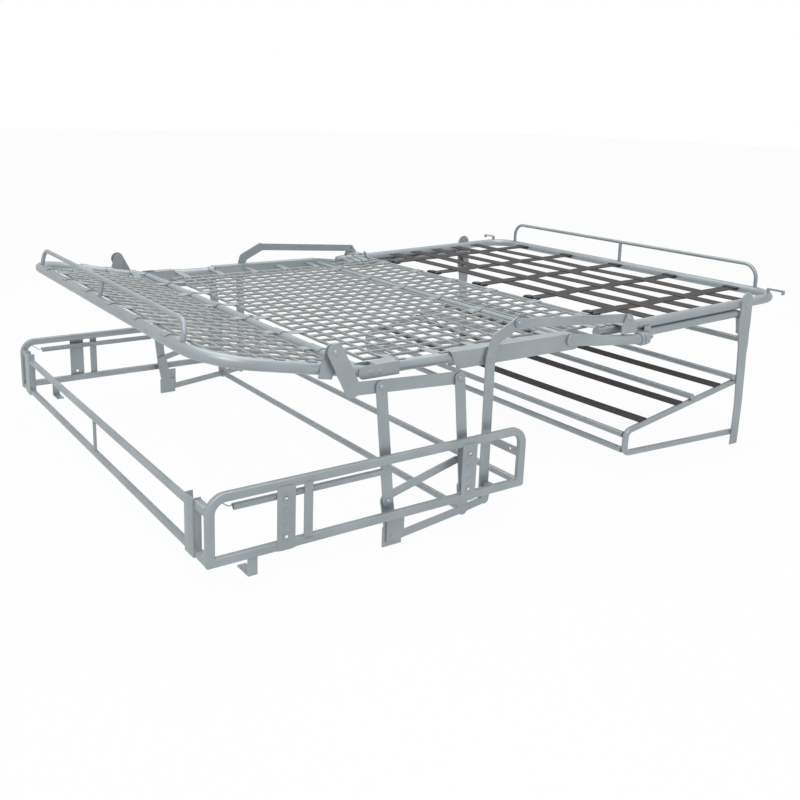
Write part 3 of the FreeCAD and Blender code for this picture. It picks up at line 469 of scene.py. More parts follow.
def skin(build, rings):
    """Joins rings of points into a closed skin and gives back its two end faces."""
    count = len(rings[0])
    for first, second in zip(rings, rings[1:]):
        for step in range(count):
            following = (step + 1) % count
            build.faces.new((first[step], first[following], second[following], second[step]))
    return [build.faces.new(rings[0][::-1]), build.faces.new(rings[-1])]


def ribbon(build, path, across, width, thick):
    """Adds a flat band along a path; across is the unit direction of its width."""
    rings = []
    across = Vector(across)
    for index, point in enumerate(path):
        before = path[max(index - 1, 0)]
        after = path[min(index + 1, len(path) - 1)]
        normal = (Vector(after) - Vector(before)).cross(across).normalized()
        ring = []
        for side, lift in ((-1, -1), (1, -1), (1, 1), (-1, 1)):
            corner = Vector(point) + across * (side * width / 2) + normal * (lift * thick / 2)
            ring.append(build.verts.new(corner))
        rings.append(ring)
    skin(build, rings)


def moulded(build, centre, extent):
    """Adds a block with rounded edges."""
    made = bmesh.ops.create_cube(build, matrix=Matrix.Translation(centre) @ Matrix.Diagonal((*extent, 1)))
    edges = {edge for vertex in made["verts"] for edge in vertex.link_edges}
    round_off = min(extent) * EASE_SHARE
    bmesh.ops.bevel(build, geom=list(edges), offset=round_off, segments=2, profile=0.5, affect="EDGES")


def formed(build, stations, segments=20):
    """Adds a tube of changing section: the centre, half depth, half height and squareness of each ring."""
    rings = []
    for centre, deep, high, square in stations:
        ring = []
        for step in range(segments):
            angle = math.tau * step / segments
            across, up = math.cos(angle), math.sin(angle)
            across = math.copysign(abs(across) ** (2 / square), across)
            up = math.copysign(abs(up) ** (2 / square), up)
            ring.append(build.verts.new(Vector(centre) + Vector((0, deep * across, high * up))))
        rings.append(ring)
    skin(build, rings)


def rounded(points, radius, steps=6):
    """A line of points with each inner corner bent smoothly."""
    path = [points[0]]
    for before, corner, after in zip(points, points[1:], points[2:]):
        start = corner + (before - corner).normalized() * radius
        end = corner + (after - corner).normalized() * radius
        for step in range(steps + 1):
            share = step / steps
            path.append(start.lerp(corner, share).lerp(corner.lerp(end, share), share))
    path.append(points[-1])
    return path


def cut_plate(build, outline, side, inner, outer):
    """Adds an upright plate of a given outline: two flat faces and a rim with eased edges."""
    rings = [[build.verts.new((x, side * y, z)) for x, z in outline] for y in (inner, outer)]
    rim = {edge for face in skin(build, rings) for edge in face.edges}
    bmesh.ops.bevel(build, geom=list(rim), offset=PLATE_EDGE, segments=2, profile=0.5, affect="EDGES")
    bmesh.ops.remove_doubles(build, verts=build.verts, dist=MERGE_DISTANCE)


def mesh_from(build, name, smooth=False):
    bmesh.ops.recalc_face_normals(build, faces=build.faces)
    mesh = bpy.data.meshes.new(name)
    build.to_mesh(mesh)
    build.free()
    if smooth:
        mesh.shade_smooth()
    return mesh


def domes(build, centre, direction, radius, height, segments=16):
    """Adds one rivet: a thin collar with a domed head on it, standing along a direction."""
    turn = Vector(direction).to_track_quat("Z", "Y").to_matrix()
    rings = []
    for share, lift in DOME_PROFILE:
        ring = []
        for step in range(segments):
            angle = math.tau * step / segments
            spot = Vector((radius * share * math.cos(angle), radius * share * math.sin(angle), height * lift))
            ring.append(build.verts.new(Vector(centre) + turn @ spot))
        rings.append(ring)
    skin(build, rings)


def round_bar(build, centre, radius, length, segments=24):
    """Adds a cylinder that lies across the part."""
    bmesh.ops.create_cone(build, cap_ends=True, segments=segments, radius1=radius, radius2=radius,
                          depth=length, matrix=Matrix.Translation(centre) @ ACROSS_TURN)


def arc(centre, radius, outward, angles):
    """Points over a tube, as a distance and a height, from the side that faces inwards."""
    turns = [math.radians(angle) for angle in angles]
    return [(centre - outward * radius * math.cos(turn), radius * math.sin(turn)) for turn in turns]


class MECHANISM_OT_paint(bpy.types.Operator):
    """Gives every steel piece of the frame its satin silver paint"""

    bl_idname = "mechanism.paint"
    bl_label = "Paint the frame"

    def execute(self, context):
        paint = metal(PAINT_FINISH, settings().paint, 0.4, 0.36)
        for node in frame["nodes"].values():
            node.data.materials.clear()
            node.data.materials.append(paint)
        return {"FINISHED"}


class MECHANISM_OT_bars(bpy.types.Operator):
    """Rolls the edges of the bars and plates, as drawn tube and pressed sheet have them"""

    bl_idname = "mechanism.bars"
    bl_label = "Roll the edges"

    def execute(self, context):
        paint = silver()
        for body, nodes in frame["record"]["behaviour"]["bodies"].items():
            for node in nodes:
                if node in EDGE_ROUND:
                    self.rolled(node, body, paint, EDGE_ROUND[node])
        return {"FINISHED"}

    def rolled(self, node, body, paint, width):
        """A copy of a node with its sharp edges rounded."""
        build = bmesh.new()
        build.from_mesh(frame["nodes"][node].data)
        bmesh.ops.remove_doubles(build, verts=build.verts, dist=MERGE_DISTANCE)
        name = node + "_rolled"
        piece = finish_piece(name, build, paint, body, replaced=(node,), smooth=True)
        roll = piece.modifiers.new("roll", "BEVEL")
        roll.width = width
        roll.segments = 3
        roll.limit_method = "ANGLE"
        roll.angle_limit = ROLL_ANGLE
        roll.harden_normals = True


class MECHANISM_OT_mounts(bpy.types.Operator):
    """Presses the mounting plates: a raised middle, two flanges, bolt holes and short ribs"""

    bl_idname = "mechanism.mounts"
    bl_label = "Press the mounting plates"

    def execute(self, context):
        paint = silver()
        for side, node in zip(SIDES, ("near_mounting_plates", "far_mounting_plates")):
            low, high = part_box(node)
            half = MOUNT_WIDTH / 2
            plates = bmesh.new()
            holes = bmesh.new()
            for x in (low.x + half, high.x - half):
                face = high.y if side > 0 else low.y
                self.plate(plates, holes, x, face, side, low.z)
            self.strap(plates, low.x + MOUNT_WIDTH + STRAP_GAP, side * STRAP_LINE)
            mesh = self.pierced(mesh_from(plates, node), mesh_from(holes, "bolt_holes"))
            finish_piece(node + "_pressed", mesh, paint, "base", replaced=(node,))
        return {"FINISHED"}

    def strap(self, plates, left, y):
        """The flat strap beside the rear plate, with a rivet near its foot."""
        bottom, top = STRAP_SPAN
        middle = left + STRAP_WIDE / 2
        moulded(plates, (middle, y, (bottom + top) / 2), (STRAP_WIDE, STRAP_THICK, top - bottom))
        for side in SIDES:
            spot = (middle, y + side * STRAP_THICK / 2, bottom + STRAP_RIVET_RISE)
            domes(plates, spot, (0, side, 0), *STRAP_RIVET_SIZE)

    def plate(self, plates, holes, x, face, side, bottom):
        half = MOUNT_WIDTH / 2
        outline = ((-half, FLANGE_DEPTH), (-CROWN_BASE, FLANGE_DEPTH), (-CROWN_EDGE, CROWN_DEPTH),
                   (CROWN_EDGE, CROWN_DEPTH), (CROWN_BASE, FLANGE_DEPTH), (half, FLANGE_DEPTH),
                   (half, MOUNT_BACK), (-half, MOUNT_BACK))
        rings = []
        for z in (bottom, MOUNT_TOP):
            rings.append([plates.verts.new((x + along, face - side * depth, z)) for along, depth in outline])
        skin(plates, rings)
        relief = face - side * RELIEF_DEPTH
        for lift in (-RIB_RISE, RIB_RISE):
            moulded(plates, (x, relief, BOLT_HEIGHT + lift), RIB_SIZE)
        for lift in (-BOLT_SPACING / 2, BOLT_SPACING / 2):
            moulded(plates, (x, relief, BOLT_HEIGHT + lift), PAD_SIZE)
            round_bar(holes, (x, face, BOLT_HEIGHT + lift), BOLT_RADIUS, BOLT_DEPTH)

    def pierced(self, mesh, holes):
        """The plates with the holes cut out."""
        body = bpy.data.objects.new("plates_whole", mesh)
        cutter = bpy.data.objects.new("plates_holes", holes)
        for item in (body, cutter):
            bpy.context.scene.collection.objects.link(item)
        cut = body.modifiers.new("holes", "BOOLEAN")
        cut.operation = "DIFFERENCE"
        cut.solver = "EXACT"
        cut.use_self = True
        cut.object = cutter
        bpy.context.view_layer.update()
        result = bpy.data.meshes.new_from_object(body.evaluated_get(bpy.context.evaluated_depsgraph_get()))
        bpy.data.objects.remove(body)
        bpy.data.objects.remove(cutter)
        return result


class MECHANISM_OT_struts(bpy.types.Operator):
    """Forms the foot section's struts, from a flattened end through a clamp to the bent brace at the leg"""

    bl_idname = "mechanism.struts"
    bl_label = "Form the struts"

    def execute(self, context):
        paint = silver()
        place = foot_frame()
        build = bmesh.new()
        braces = []
        for side in SIDES:
            self.tube(build, side)
            self.clamp(build, side)
            braces.append(self.brace(side))
        bends = wires_to_mesh("braces", braces, BRACE_RADIUS, 5)
        build.from_mesh(bends)
        bpy.data.meshes.remove(bends)
        mesh = mesh_from(build, "leg_struts_formed", True)
        mesh.set_sharp_from_angle(angle=STRUT_SHARP_ANGLE)
        finish_piece("leg_struts_formed", mesh, paint, "foot_section", place, ("leg_struts",))
        return {"FINISHED"}

    def tube(self, build, side):
        flat = CHANNEL_SIDE + STRUT_CLEAR + STRUT_FLAT
        stations = []
        for x, share, high in STRUT_RINGS:
            y = flat + (STRUT_LINE - flat) * share
            deep = STRUT_FLAT + (STRUT_RADIUS - STRUT_FLAT) * share
            centre = (x, side * y, STRUT_DROP * max(x, 0) / COLLAR_PLACE)
            square = FLAT_SQUARE + (ROUND_SQUARE - FLAT_SQUARE) * share
            stations.append((centre, deep, high, square))
        formed(build, stations)

    def clamp(self, build, side):
        """Two bands round the strut, the bridge to the brace, its saddle on the rail and two bolt heads."""
        for x in BAND_PLACES:
            formed(build, [((x + step, side * STRUT_LINE, STRUT_DROP), BAND_REACH - trim, BAND_REACH - trim,
                            BAND_SQUARE) for step, trim in BAND_PROFILE])
        moulded(build, (BRIDGE_PLACE, side * (BRIDGE_INNER + STRUT_LINE) / 2, STRUT_DROP),
                (BRIDGE_LENGTH, STRUT_LINE - BRIDGE_INNER, BRIDGE_HEIGHT))
        x, y, z = SADDLE_PLACE
        moulded(build, (x, side * y, z), SADDLE_SIZE)
        for x in CLAMP_BOLTS:
            domes(build, (x, side * STRUT_LINE, STRUT_DROP), (0, side, 0), *CLAMP_BOLT_SIZE)

    def brace(self, side):
        """The line of the tube under the rail, bent down to the leg at its end."""
        return rounded([Vector((x, side * RAIL_LINE, z)) for x, z in BRACE_CORNERS], BRACE_BEND)


class MECHANISM_OT_legs(bpy.types.Operator):
    """Cuts the leg plates: a broad rounded head, a waist and a narrow foot, with eased edges"""

    bl_idname = "mechanism.legs"
    bl_label = "Cut the leg plates"

    def execute(self, context):
        paint = silver()
        low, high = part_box("leg_plates")
        inner = local_box("foot_frame", foot_frame())[1].y
        rivet = foot_frame() @ Vector((LEG_PLACE, 0, LEG_RIVET_DROP))
        foot = rivet.x + LEG_LEAN
        levels = [(foot, low.z, *LEG_FOOT_WIDTHS), (foot, rivet.z * LEG_SHIN_SHARE, *LEG_SHIN_WIDTHS)]
        for lean, drop, right, left in LEG_LEVELS:
            levels.append((rivet.x + LEG_LEAN * lean, rivet.z - drop, right, left))
        outline = [(x + right, z) for x, z, right, left in levels]
        for step in range(LEG_HEAD_STEPS + 1):
            angle = math.pi * step / LEG_HEAD_STEPS
            outline.append((rivet.x + LEG_HEAD_CENTRE[0] + LEG_HEAD_RADII[0] * math.cos(angle),
                            rivet.z + LEG_HEAD_CENTRE[1] + LEG_HEAD_RADII[1] * math.sin(angle)))
        outline += [(x - left, z) for x, z, right, left in reversed(levels)]
        build = bmesh.new()
        for side in SIDES:
            cut_plate(build, outline, side, inner, high.y)
        finish_piece("leg_plates_cut", build, paint, "foot_section", replaced=("leg_plates",))
        return {"FINISHED"}


class MECHANISM_OT_brackets(bpy.types.Operator):
    """Bends the brackets that the links hold, and sets plates on the feet of the pivot plates"""

    bl_idname = "mechanism.brackets"
    bl_label = "Bend the brackets"

    def execute(self, context):
        paint = silver()
        self.link_brackets(paint)
        self.head_brackets(paint)
        self.shoes(paint)
        return {"FINISHED"}

    def ear(self, pin, foot, crown, back):
        """The outline of an ear: its foot, its rounded top and its rear corner."""
        radius, first, last = crown
        outline = [(pin.x + x, z) for x, z in foot]
        for step in range(CROWN_STEPS + 1):
            turn = math.radians(first + (last - first) * step / CROWN_STEPS)
            outline.append((pin.x + radius * math.cos(turn), pin.z + radius * math.sin(turn)))
        return outline + [(pin.x + back[0], back[1])]

    def boss(self, build, pin, side, inner, outer, radius):
        """The round spacer at an ear's rivet."""
        round_bar(build, (pin.x, side * (inner + outer) / 2, pin.z), radius, outer - inner)

    def link_brackets(self, paint):
        place = foot_frame()
        pin = place.inverted() @ (joint_place("foot_fold") + Vector(LINK_RIVET))
        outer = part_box("link_brackets")[1].y
        inner = outer - EAR_THICK
        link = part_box("front_links")[1].y + LINK_CLEAR
        x, z = LINK_FLAT_PLACE
        length, thick = LINK_FLAT_SIZE
        build = bmesh.new()
        for side in SIDES:
            cut_plate(build, self.ear(pin, *LINK_EAR), side, inner, outer)
            moulded(build, (pin.x + x, side * (LINK_FLAT_START + inner) / 2, z),
                    (length, inner - LINK_FLAT_START, thick))
            self.boss(build, pin, side, link, inner, LINK_BOSS_RADIUS)
        finish_piece("link_brackets_bent", build, paint, "foot_section", place,
                     ("link_brackets",))

    def head_brackets(self, paint):
        place = head_frame()
        pin = place.inverted() @ (joint_place("head_fold") + Vector(HEAD_PIN))
        outer = HEAD_EAR_INNER + EAR_THICK
        build = bmesh.new()
        for side in SIDES:
            cut_plate(build, self.ear(pin, *HEAD_EAR), side, HEAD_EAR_INNER, outer)
            self.boss(build, pin, side, outer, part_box("head_brackets")[1].y, HEAD_BOSS_RADIUS)
        finish_piece("head_brackets_bent", build, paint, "head_section", place,
                     ("head_brackets",))

    def shoes(self, paint):
        """Plates with a clipped corner and a rivet on the feet of the pivot plates."""
        foot = joint_place("rear_arm_swing").x
        outer = TRUSS_FACE + EAR_THICK
        outline = [(foot + x, z) for x, z in SHOE_OUTLINE]
        build = bmesh.new()
        for side in SIDES:
            cut_plate(build, outline, side, TRUSS_FACE, outer)
            spot = (foot + SHOE_RIVET[0], side * outer, SHOE_RIVET[1])
            domes(build, spot, (0, side, 0), *SHOE_RIVET_SIZE)
        finish_piece("truss_shoes", build, paint, "base")


class MECHANISM_OT_meshes(bpy.types.Operator):
    """Weaves the three wire meshes and hooks them to their tubes"""

    bl_idname = "mechanism.meshes"
    bl_label = "Weave the wire meshes"

    def execute(self, context):
        steel = metal("mesh_wire", settings().wire, 0.35, 0.42)
        frames = {"head_section": head_frame, "middle_section": middle_frame, "foot_section": foot_frame}
        for name, node, body, side_gap, corner, ends in PANELS:
            self.panel(name, node, body, frames[body](), steel, side_gap, corner, ends)
        return {"FINISHED"}

    def panel(self, name, node, body, place, steel, side_gap, corner, ends):
        """A woven grid of wires inside a border wire, with flat hooks to the tubes round it."""
        look = settings()
        low, high = local_box(node, place)
        left = low.x + ends[0][0] + look.wire_radius
        right = high.x - ends[1][0] - look.wire_radius
        reach = min(high.y, -low.y) - side_gap
        lines = self.grid(left, right, reach, corner) + [self.border(left, right, reach, corner)]
        mesh = wires_to_mesh(name, lines, look.wire_radius)
        finish_piece(name, mesh, steel, body, place, (node,))
        paint = silver()
        hooks = self.end_hooks((left, right), ends, reach - corner)
        finish_piece(name.replace("wire", "hooks"), hooks, paint, body, place)
        first = left + corner + SIDE_HOOK_INSET
        if node == "foot_mesh":
            first = max(first, local_box("foot_frame", place)[0].x + SIDE_HOOK_CLEAR)
        hooks = self.side_hooks(first, right - SIDE_HOOK_CLEAR, reach)
        finish_piece(name.replace("wire", "side_hooks"), hooks, paint, body, place)

    def grid(self, left, right, reach, corner):
        """The lines of wires that pass over and under each other, up to the clipped corners."""
        look = settings()
        weave = look.wire_radius * WEAVE_SHARE
        along = max(2, round((right - left) / look.wire_pitch))
        across = max(2, round(2 * reach / look.wire_pitch))

        def spot(i, j, way):
            x = left + (right - left) * i / along
            return Vector((x, -reach + 2 * reach * j / across, way * weave * (-1) ** (i + j)))

        lines = []
        for j in range(across + 1):
            points = [spot(i, j, 1) for i in range(along + 1)]
            y = points[0].y
            start = left + max(0.0, abs(y) - (reach - corner))
            points = [point for point in points if point.x >= start - TOLERANCE]
            if points[0].x - start > SHORTEST_END:
                points.insert(0, Vector((start, y, 0)))
            lines.append(points)
        for i in range(along + 1):
            points = [spot(i, j, -1) for j in range(across + 1)]
            x = points[0].x
            edge = min(reach, reach - corner + (right - left) * i / along) if corner else reach
            points = [point for point in points if abs(point.y) <= edge + TOLERANCE]
            lines.append([Vector((x, -edge, 0))] + points[1:-1] + [Vector((x, edge, 0))])
        return lines

    def border(self, left, right, reach, corner):
        """The closed line round a panel, with its left corners clipped."""
        points = [(left + corner, -reach), (right, -reach), (right, reach), (left + corner, reach)]
        if corner:
            points += [(left, reach - corner), (left, corner - reach)]
        return [Vector((x, y, 0)) for x, y in points + points[:1]]

    def side_hooks(self, first, last, reach):
        """Flat bands that hang the mesh on the side rails."""
        count = max(2, round((last - first) / SIDE_HOOK_PITCH))
        build = bmesh.new()
        for side in SIDES:
            line = [(side * (reach - back), lift) for back, lift in HOOK_CLASP]
            line += arc(side * RAIL_LINE, TUBE_RADIUS + HOOK_THICK, side, SIDE_HOOK_ARC)
            for step in range(count + 1):
                x = first + (last - first) * step / count
                path = [Vector((x, y, z)) for y, z in line]
                ribbon(build, path, (1, 0, 0), settings().hook_width * SIDE_HOOK_SHARE, HOOK_THICK)
        return build

    def end_hooks(self, borders, ends, reach):
        """Flat bands that clasp a border wire and lie over the tube beside it."""
        look = settings()
        build = bmesh.new()
        for border, end, outward in zip(borders, ends, SIDES):
            if end == OPEN_END:
                continue
            gap, room, rod = end[1:]
            line = [(border - outward * back, lift) for back, lift in HOOK_CLASP]
            tube = border + outward * (gap + look.wire_radius + room)
            line += arc(tube, rod + HOOK_THICK, outward, END_HOOK_ARC)
            for step in range(END_HOOKS):
                y = (step - (END_HOOKS - 1) / 2) * reach / (END_HOOKS / 2)
                ribbon(build, [Vector((x, y, z)) for x, z in line], (0, 1, 0), look.hook_width, HOOK_THICK)
        return build


class MECHANISM_OT_webbing(bpy.types.Operator):
    """Lays the elastic straps of the foot section and the seat frame"""

    bl_idname = "mechanism.webbing"
    bl_label = "Lay the webbing"

    def execute(self, context):
        cloth = woven("elastic_webbing", settings().webbing)
        self.foot_straps(cloth)
        self.seat_straps(cloth)
        return {"FINISHED"}

    def foot_straps(self, cloth):
        look = settings()
        place = foot_frame()
        low, high = local_box("foot_webbing", place)
        middle = (low.z + high.z) / 2
        lift = look.strap_thick * STRAP_LIFT_SHARE
        rail = local_box("foot_frame", place)[1].y - TUBE_RADIUS
        long_lines = [LONG_STRAP_PITCH * step for step in range(-2, 3)]
        cross_lines = [CROSS_STRAP_START + CROSS_STRAP_PITCH * step for step in range(CROSS_STRAPS)]
        build = bmesh.new()
        for row, y in enumerate(long_lines):
            path = [Vector((low.x, y, middle))]
            for column, x in enumerate(cross_lines):
                path.append(Vector((x, y, middle + lift * (-1) ** (row + column))))
            path.append(Vector((high.x, y, middle)))
            ribbon(build, path, (0, 1, 0), look.strap_width, look.strap_thick)
        for column, x in enumerate(cross_lines):
            reach = self.reach(x + look.strap_width / 2, high.x, rail)
            path = [Vector((x, -reach, middle))]
            for row, y in enumerate(long_lines):
                path.append(Vector((x, y, middle - lift * (-1) ** (row + column))))
            path.append(Vector((x, reach, middle)))
            ribbon(build, path, (1, 0, 0), look.strap_width, look.strap_thick)
        self.clip_rod(place)
        finish_piece("foot_straps", build, cloth, "foot_section", place, ("foot_webbing",))
        self.clips(place, low.x, high.x, middle, long_lines)

    def clip_rod(self, place):
        """The rod that the strap clips hold on to, with its ends hooked over the side rails."""
        low, high = local_box("foot_cross_tube", place)
        x = (low.x + high.x) / 2
        over = TUBE_RADIUS + CLIP_ROD_RADIUS
        line = [(RAIL_LINE - over - CLIP_ROD_STRAIGHT, 0)] + arc(RAIL_LINE, over, 1, CLIP_ROD_ARC)
        path = [Vector((x, -y, z)) for y, z in reversed(line)] + [Vector((x, 0, 0))]
        path += [Vector((x, y, z)) for y, z in line]
        mesh = wires_to_mesh("clip_rod", [path], CLIP_ROD_RADIUS, 3)
        finish_piece("clip_rod", mesh, silver(), "foot_section", place, ("foot_cross_tube",))

    def clips(self, place, first, last, height, lines):
        """Moulded clips at the ends of the long straps: a broad back and a nose over the tube."""
        look = settings()
        build = bmesh.new()
        wide = look.strap_width + CLIP_MARGIN
        for y in lines:
            for end, blocks in ((first, FIRST_CLIP), (last, LAST_CLIP)):
                for along, lift, length, share, high in blocks:
                    moulded(build, (end + along, y, height + lift), (length, wide * share, high))
        black = plastic("strap_clip", look.clip)
        finish_piece("strap_clips", build, black, "foot_section", place)

    def reach(self, x, end, rail):
        """How far out a cross strap goes before it meets the bent foot tube."""
        past = max(0.0, x - (end + TUBE_RADIUS - FOOT_BEND))
        return rail - FOOT_BEND + math.sqrt((FOOT_BEND - TUBE_RADIUS) ** 2 - past ** 2) - STRAP_END_CLEAR

    def seat_straps(self, cloth):
        look = settings()
        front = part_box("near_seat_side")[0].x + THIN_TUBE_RADIUS
        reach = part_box("seat_webbing")[1].y
        along = Vector((math.cos(SEAT_TILT), 0, math.sin(SEAT_TILT)))
        up = Vector((-math.sin(SEAT_TILT), 0, math.cos(SEAT_TILT)))
        build = bmesh.new()
        for distance in SEAT_STRAPS:
            foot = Vector((front + distance, 0, SEAT_HEIGHT + distance * math.tan(SEAT_TILT)))
            centre = foot + up * (THIN_TUBE_RADIUS + look.strap_thick)
            path = [centre + Vector((0, reach * share, -SEAT_SAG * (1 - share ** 2))) for share in SEAT_STEPS]
            ribbon(build, path, along, look.seat_strap_width, look.strap_thick)
        finish_piece("seat_straps", build, cloth, "foot_section", replaced=("seat_webbing",))


class MECHANISM_OT_springs(bpy.types.Operator):
    """Winds the two tie springs inside the side frames"""

    bl_idname = "mechanism.springs"
    bl_label = "Wind the springs"

    def execute(self, context):
        look = settings()
        steel = metal("spring_steel", tinted(look.paint, 1.2), 0.4, 0.36)
        low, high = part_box("tie_springs")
        height = (low.z + high.z) / 2
        radius = look.coil_radius - look.coil_wire / 2
        first = low.x + COIL_START
        last = high.x - COIL_END
        turns = round((last - first) / (look.coil_wire * COIL_PITCH_SHARE))
        back, rise = SPRING_NECK
        lines = []
        for side in SIDES:
            y = side * (high.y - look.coil_radius)
            coil = [Vector((first - SPRING_HOOK, y, RAIL_UNDER)), Vector((first - back, y, height + rise))]
            for step in range(turns * COIL_STEPS + 1):
                angle = math.tau * step / COIL_STEPS
                x = first + (last - first) * step / (turns * COIL_STEPS)
                coil.append(Vector((x, y + radius * math.cos(angle), height + radius * math.sin(angle))))
            coil.extend([Vector((last + SPRING_TAIL, y, height)), Vector((high.x, y, height))])
            lines.append(coil)
        mesh = wires_to_mesh("coils", lines, look.coil_wire / 2)
        finish_piece("tie_coils", mesh, steel, "base", replaced=("tie_springs",))
        return {"FINISHED"}


class MECHANISM_OT_fasteners(bpy.types.Operator):
    """Sets a rivet at each pivot and fixing"""

    bl_idname = "mechanism.fasteners"
    bl_label = "Set the rivets"

    def execute(self, context):
        look = settings()
        bright = metal("rivet_steel", tinted(look.paint, 1.05), 0.45, 0.34)
        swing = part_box("rear_arms")[1].y
        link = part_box("front_links")[1].y
        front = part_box("front_arms")[1].y - FRONT_RIVET_SINK
        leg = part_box("leg_plates")[1].y
        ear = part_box("link_brackets")[1].y
        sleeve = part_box("far_middle_rail")[1].y
        rear_foot = joint_place("rear_arm_swing")
        carrier = joint_place("carrier_pivot")
        centre = joint_place("centre_arm_swing")
        fold = joint_place("head_fold")
        head_pin = fold + Vector(HEAD_PIN)
        spots = {
            "base": [(rear_foot, swing + ARM_RIVET_RISE), (centre, swing + ARM_RIVET_RISE)],
            "carriers": [(carrier, swing + LINK_RIVET_RISE),
                         (centre + carrier - rear_foot, swing + LINK_RIVET_RISE),
                         (head_pin, self.outer_face("carriers", head_pin))],
            "front_arms": [(joint_place("front_link_pivot"), link + LINK_RIVET_RISE)],
            "middle_section": [(joint_place("middle_pivot"), front)]
            + [(fold + Vector((along, 0, 0)), sleeve) for along in SLEEVE_RIVETS],
            "foot_section": [(foot_frame() @ Vector((LEG_PLACE, 0, LEG_RIVET_DROP)), leg),
                             (joint_place("foot_fold") + Vector(LINK_RIVET), ear)],
        }
        for body, places in spots.items():
            height = FLUSH_HEIGHT if body == "middle_section" else look.rivet_height
            build = bmesh.new()
            for place, face in places:
                for side in SIDES:
                    spot = Vector((place.x, side * face, place.z))
                    domes(build, spot, (0, side, 0), look.rivet_radius, height)
            finish_piece(body + "_rivets", build, bright, body, smooth=True)
        return {"FINISHED"}

    def outer_face(self, node, place, reach=0.02):
        """How far out a node's side is around a point."""
        near = [vertex.co.y for vertex in frame["nodes"][node].data.vertices
                if abs(vertex.co.x - place.x) < reach and abs(vertex.co.z - place.z) < reach]
        return max(near)


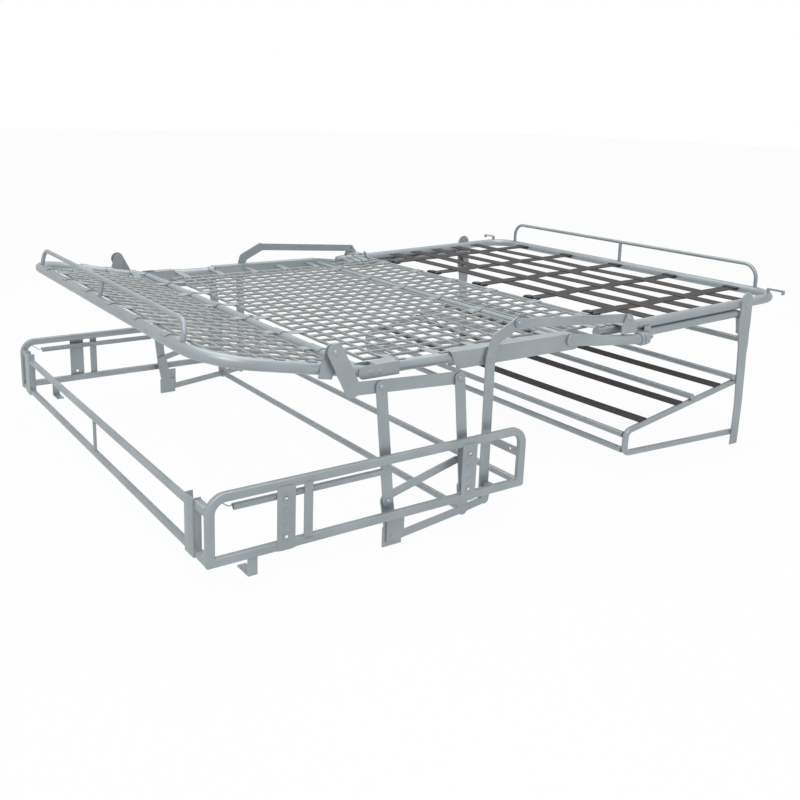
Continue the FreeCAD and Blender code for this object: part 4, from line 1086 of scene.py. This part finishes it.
class MECHANISM_OT_stage(bpy.types.Operator):
    """Sets the floor, the lights and the camera at the photograph's angle"""

    bl_idname = "mechanism.stage"
    bl_label = "Set the stage"

    def execute(self, context):
        scene = context.scene
        scene.view_settings.view_transform = "Standard"
        self.floor()
        self.lights(scene)
        self.camera(scene)
        return {"FINISHED"}

    def floor(self):
        build = bmesh.new()
        bmesh.ops.create_grid(build, x_segments=1, y_segments=1, size=FLOOR_HALF)
        mesh = mesh_from(build, "floor")
        mesh.transform(Matrix.Translation((0, 0, FLOOR_DROP)))
        material, tree, shader = new_material("pale_floor")
        grain = noise(tree, FLOOR_SCALE, 2.0)
        band = ramp(tree, grain.outputs["Fac"], (0.90, 0.90, 0.90), (0.93, 0.93, 0.93))
        tree.links.new(band.outputs["Color"], shader.inputs["Base Color"])
        shader.inputs["Roughness"].default_value = 0.9
        shader.inputs["Specular IOR Level"].default_value = 0.1
        glow = tree.nodes.new("ShaderNodeEmission")
        share = self.seen(tree, 0.95)
        blend = tree.nodes.new("ShaderNodeMixShader")
        tree.links.new(share, blend.inputs["Fac"])
        tree.links.new(shader.outputs["BSDF"], blend.inputs[1])
        tree.links.new(glow.outputs["Emission"], blend.inputs[2])
        tree.links.new(blend.outputs["Shader"], tree.nodes["Material Output"].inputs["Surface"])
        mesh.materials.append(material)
        floor = bpy.data.objects.new("floor", mesh)
        bpy.context.scene.collection.objects.link(floor)

    def seen(self, tree, most):
        """A share that is above nought where the camera, a gloss or a clear piece sees the surface."""
        path = tree.nodes.new("ShaderNodeLightPath")
        total = path.outputs["Is Camera Ray"]
        for ray in ("Is Glossy Ray", "Is Transmission Ray"):
            either = tree.nodes.new("ShaderNodeMath")
            either.operation = "MAXIMUM"
            tree.links.new(total, either.inputs[0])
            tree.links.new(path.outputs[ray], either.inputs[1])
            total = either.outputs["Value"]
        share = tree.nodes.new("ShaderNodeMath")
        share.operation = "MULTIPLY"
        share.inputs[1].default_value = most
        tree.links.new(total, share.inputs[0])
        return share.outputs["Value"]

    def lights(self, scene):
        world = bpy.data.worlds.new("studio")
        world.use_nodes = True
        tree = world.node_tree
        background = tree.nodes["Background"]
        background.inputs["Color"].default_value = (0.96, 0.98, 1.0, 1)
        background.inputs["Strength"].default_value = 0.5
        white = tree.nodes.new("ShaderNodeBackground")
        white.inputs["Color"].default_value = (1.0, 1.0, 1.0, 1)
        blend = tree.nodes.new("ShaderNodeMixShader")
        tree.links.new(self.seen(tree, 1.0), blend.inputs["Fac"])
        tree.links.new(background.outputs["Background"], blend.inputs[1])
        tree.links.new(white.outputs["Background"], blend.inputs[2])
        tree.links.new(blend.outputs["Shader"], tree.nodes["World Output"].inputs["Surface"])
        scene.world = world
        for name, place, size, power in LIGHTS:
            light = bpy.data.lights.new(name, "AREA")
            light.size = size
            light.energy = power
            lamp = bpy.data.objects.new(name, light)
            lamp.location = place
            lamp.rotation_mode = "QUATERNION"
            lamp.rotation_quaternion = (Vector(LIGHT_AIM) - Vector(place)).to_track_quat("-Z", "Y")
            scene.collection.objects.link(lamp)

    def camera(self, scene):
        forward = Vector((math.sin(CAMERA_YAW) * math.cos(CAMERA_PITCH),
                          math.cos(CAMERA_YAW) * math.cos(CAMERA_PITCH), -math.sin(CAMERA_PITCH)))
        level = Vector((math.cos(CAMERA_YAW), -math.sin(CAMERA_YAW), 0))
        down = forward.cross(level)
        right = math.cos(CAMERA_ROLL) * level + math.sin(CAMERA_ROLL) * down
        down = math.cos(CAMERA_ROLL) * down - math.sin(CAMERA_ROLL) * level
        data = bpy.data.cameras.new("photo_camera")
        data.sensor_width = SENSOR
        data.lens = FOCAL_PIXELS * SENSOR / PHOTO_PIXELS
        data.shift_x = 0.5 - LENS_CENTRE[0] / PHOTO_PIXELS
        data.shift_y = LENS_CENTRE[1] / PHOTO_PIXELS - 0.5
        data.clip_end = 200.0
        camera = bpy.data.objects.new("photo_camera", data)
        turn = Matrix((right, -down, -forward)).transposed().to_4x4()
        camera.matrix_world = Matrix.Translation(CAMERA_PLACE) @ turn
        scene.collection.objects.link(camera)
        scene.camera = camera


class MECHANISM_PT_looks(bpy.types.Panel):
    """The sizes and colours, and a button for each step"""

    bl_label = "Mechanism looks"
    bl_idname = "MECHANISM_PT_looks"
    bl_space_type = "VIEW_3D"
    bl_region_type = "UI"
    bl_category = "Mechanism"

    def draw(self, context):
        look = context.scene.mechanism_look
        for name in MechanismLook.__annotations__:
            self.layout.prop(look, name)
        for step in STEPS:
            self.layout.operator(step.bl_idname)


STEPS = (MECHANISM_OT_paint, MECHANISM_OT_bars, MECHANISM_OT_mounts, MECHANISM_OT_struts, MECHANISM_OT_legs,
         MECHANISM_OT_brackets, MECHANISM_OT_meshes, MECHANISM_OT_webbing, MECHANISM_OT_springs,
         MECHANISM_OT_fasteners, MECHANISM_OT_stage)
CLASSES = (MechanismLook, *STEPS, MECHANISM_PT_looks)


def register():
    for cls in CLASSES:
        bpy.utils.register_class(cls)
    bpy.types.Scene.mechanism_look = PointerProperty(type=MechanismLook)


def unregister():
    del bpy.types.Scene.mechanism_look
    for cls in reversed(CLASSES):
        bpy.utils.unregister_class(cls)


def main():
    register()
    bpy.ops.mechanism.paint()
    bpy.ops.mechanism.bars()
    bpy.ops.mechanism.mounts()
    bpy.ops.mechanism.struts()
    bpy.ops.mechanism.legs()
    bpy.ops.mechanism.brackets()
    bpy.ops.mechanism.meshes()
    bpy.ops.mechanism.webbing()
    bpy.ops.mechanism.springs()
    bpy.ops.mechanism.fasteners()
    bpy.ops.mechanism.stage()
    bpy.context.view_layer.update()


if __name__ == "__main__":
    main()
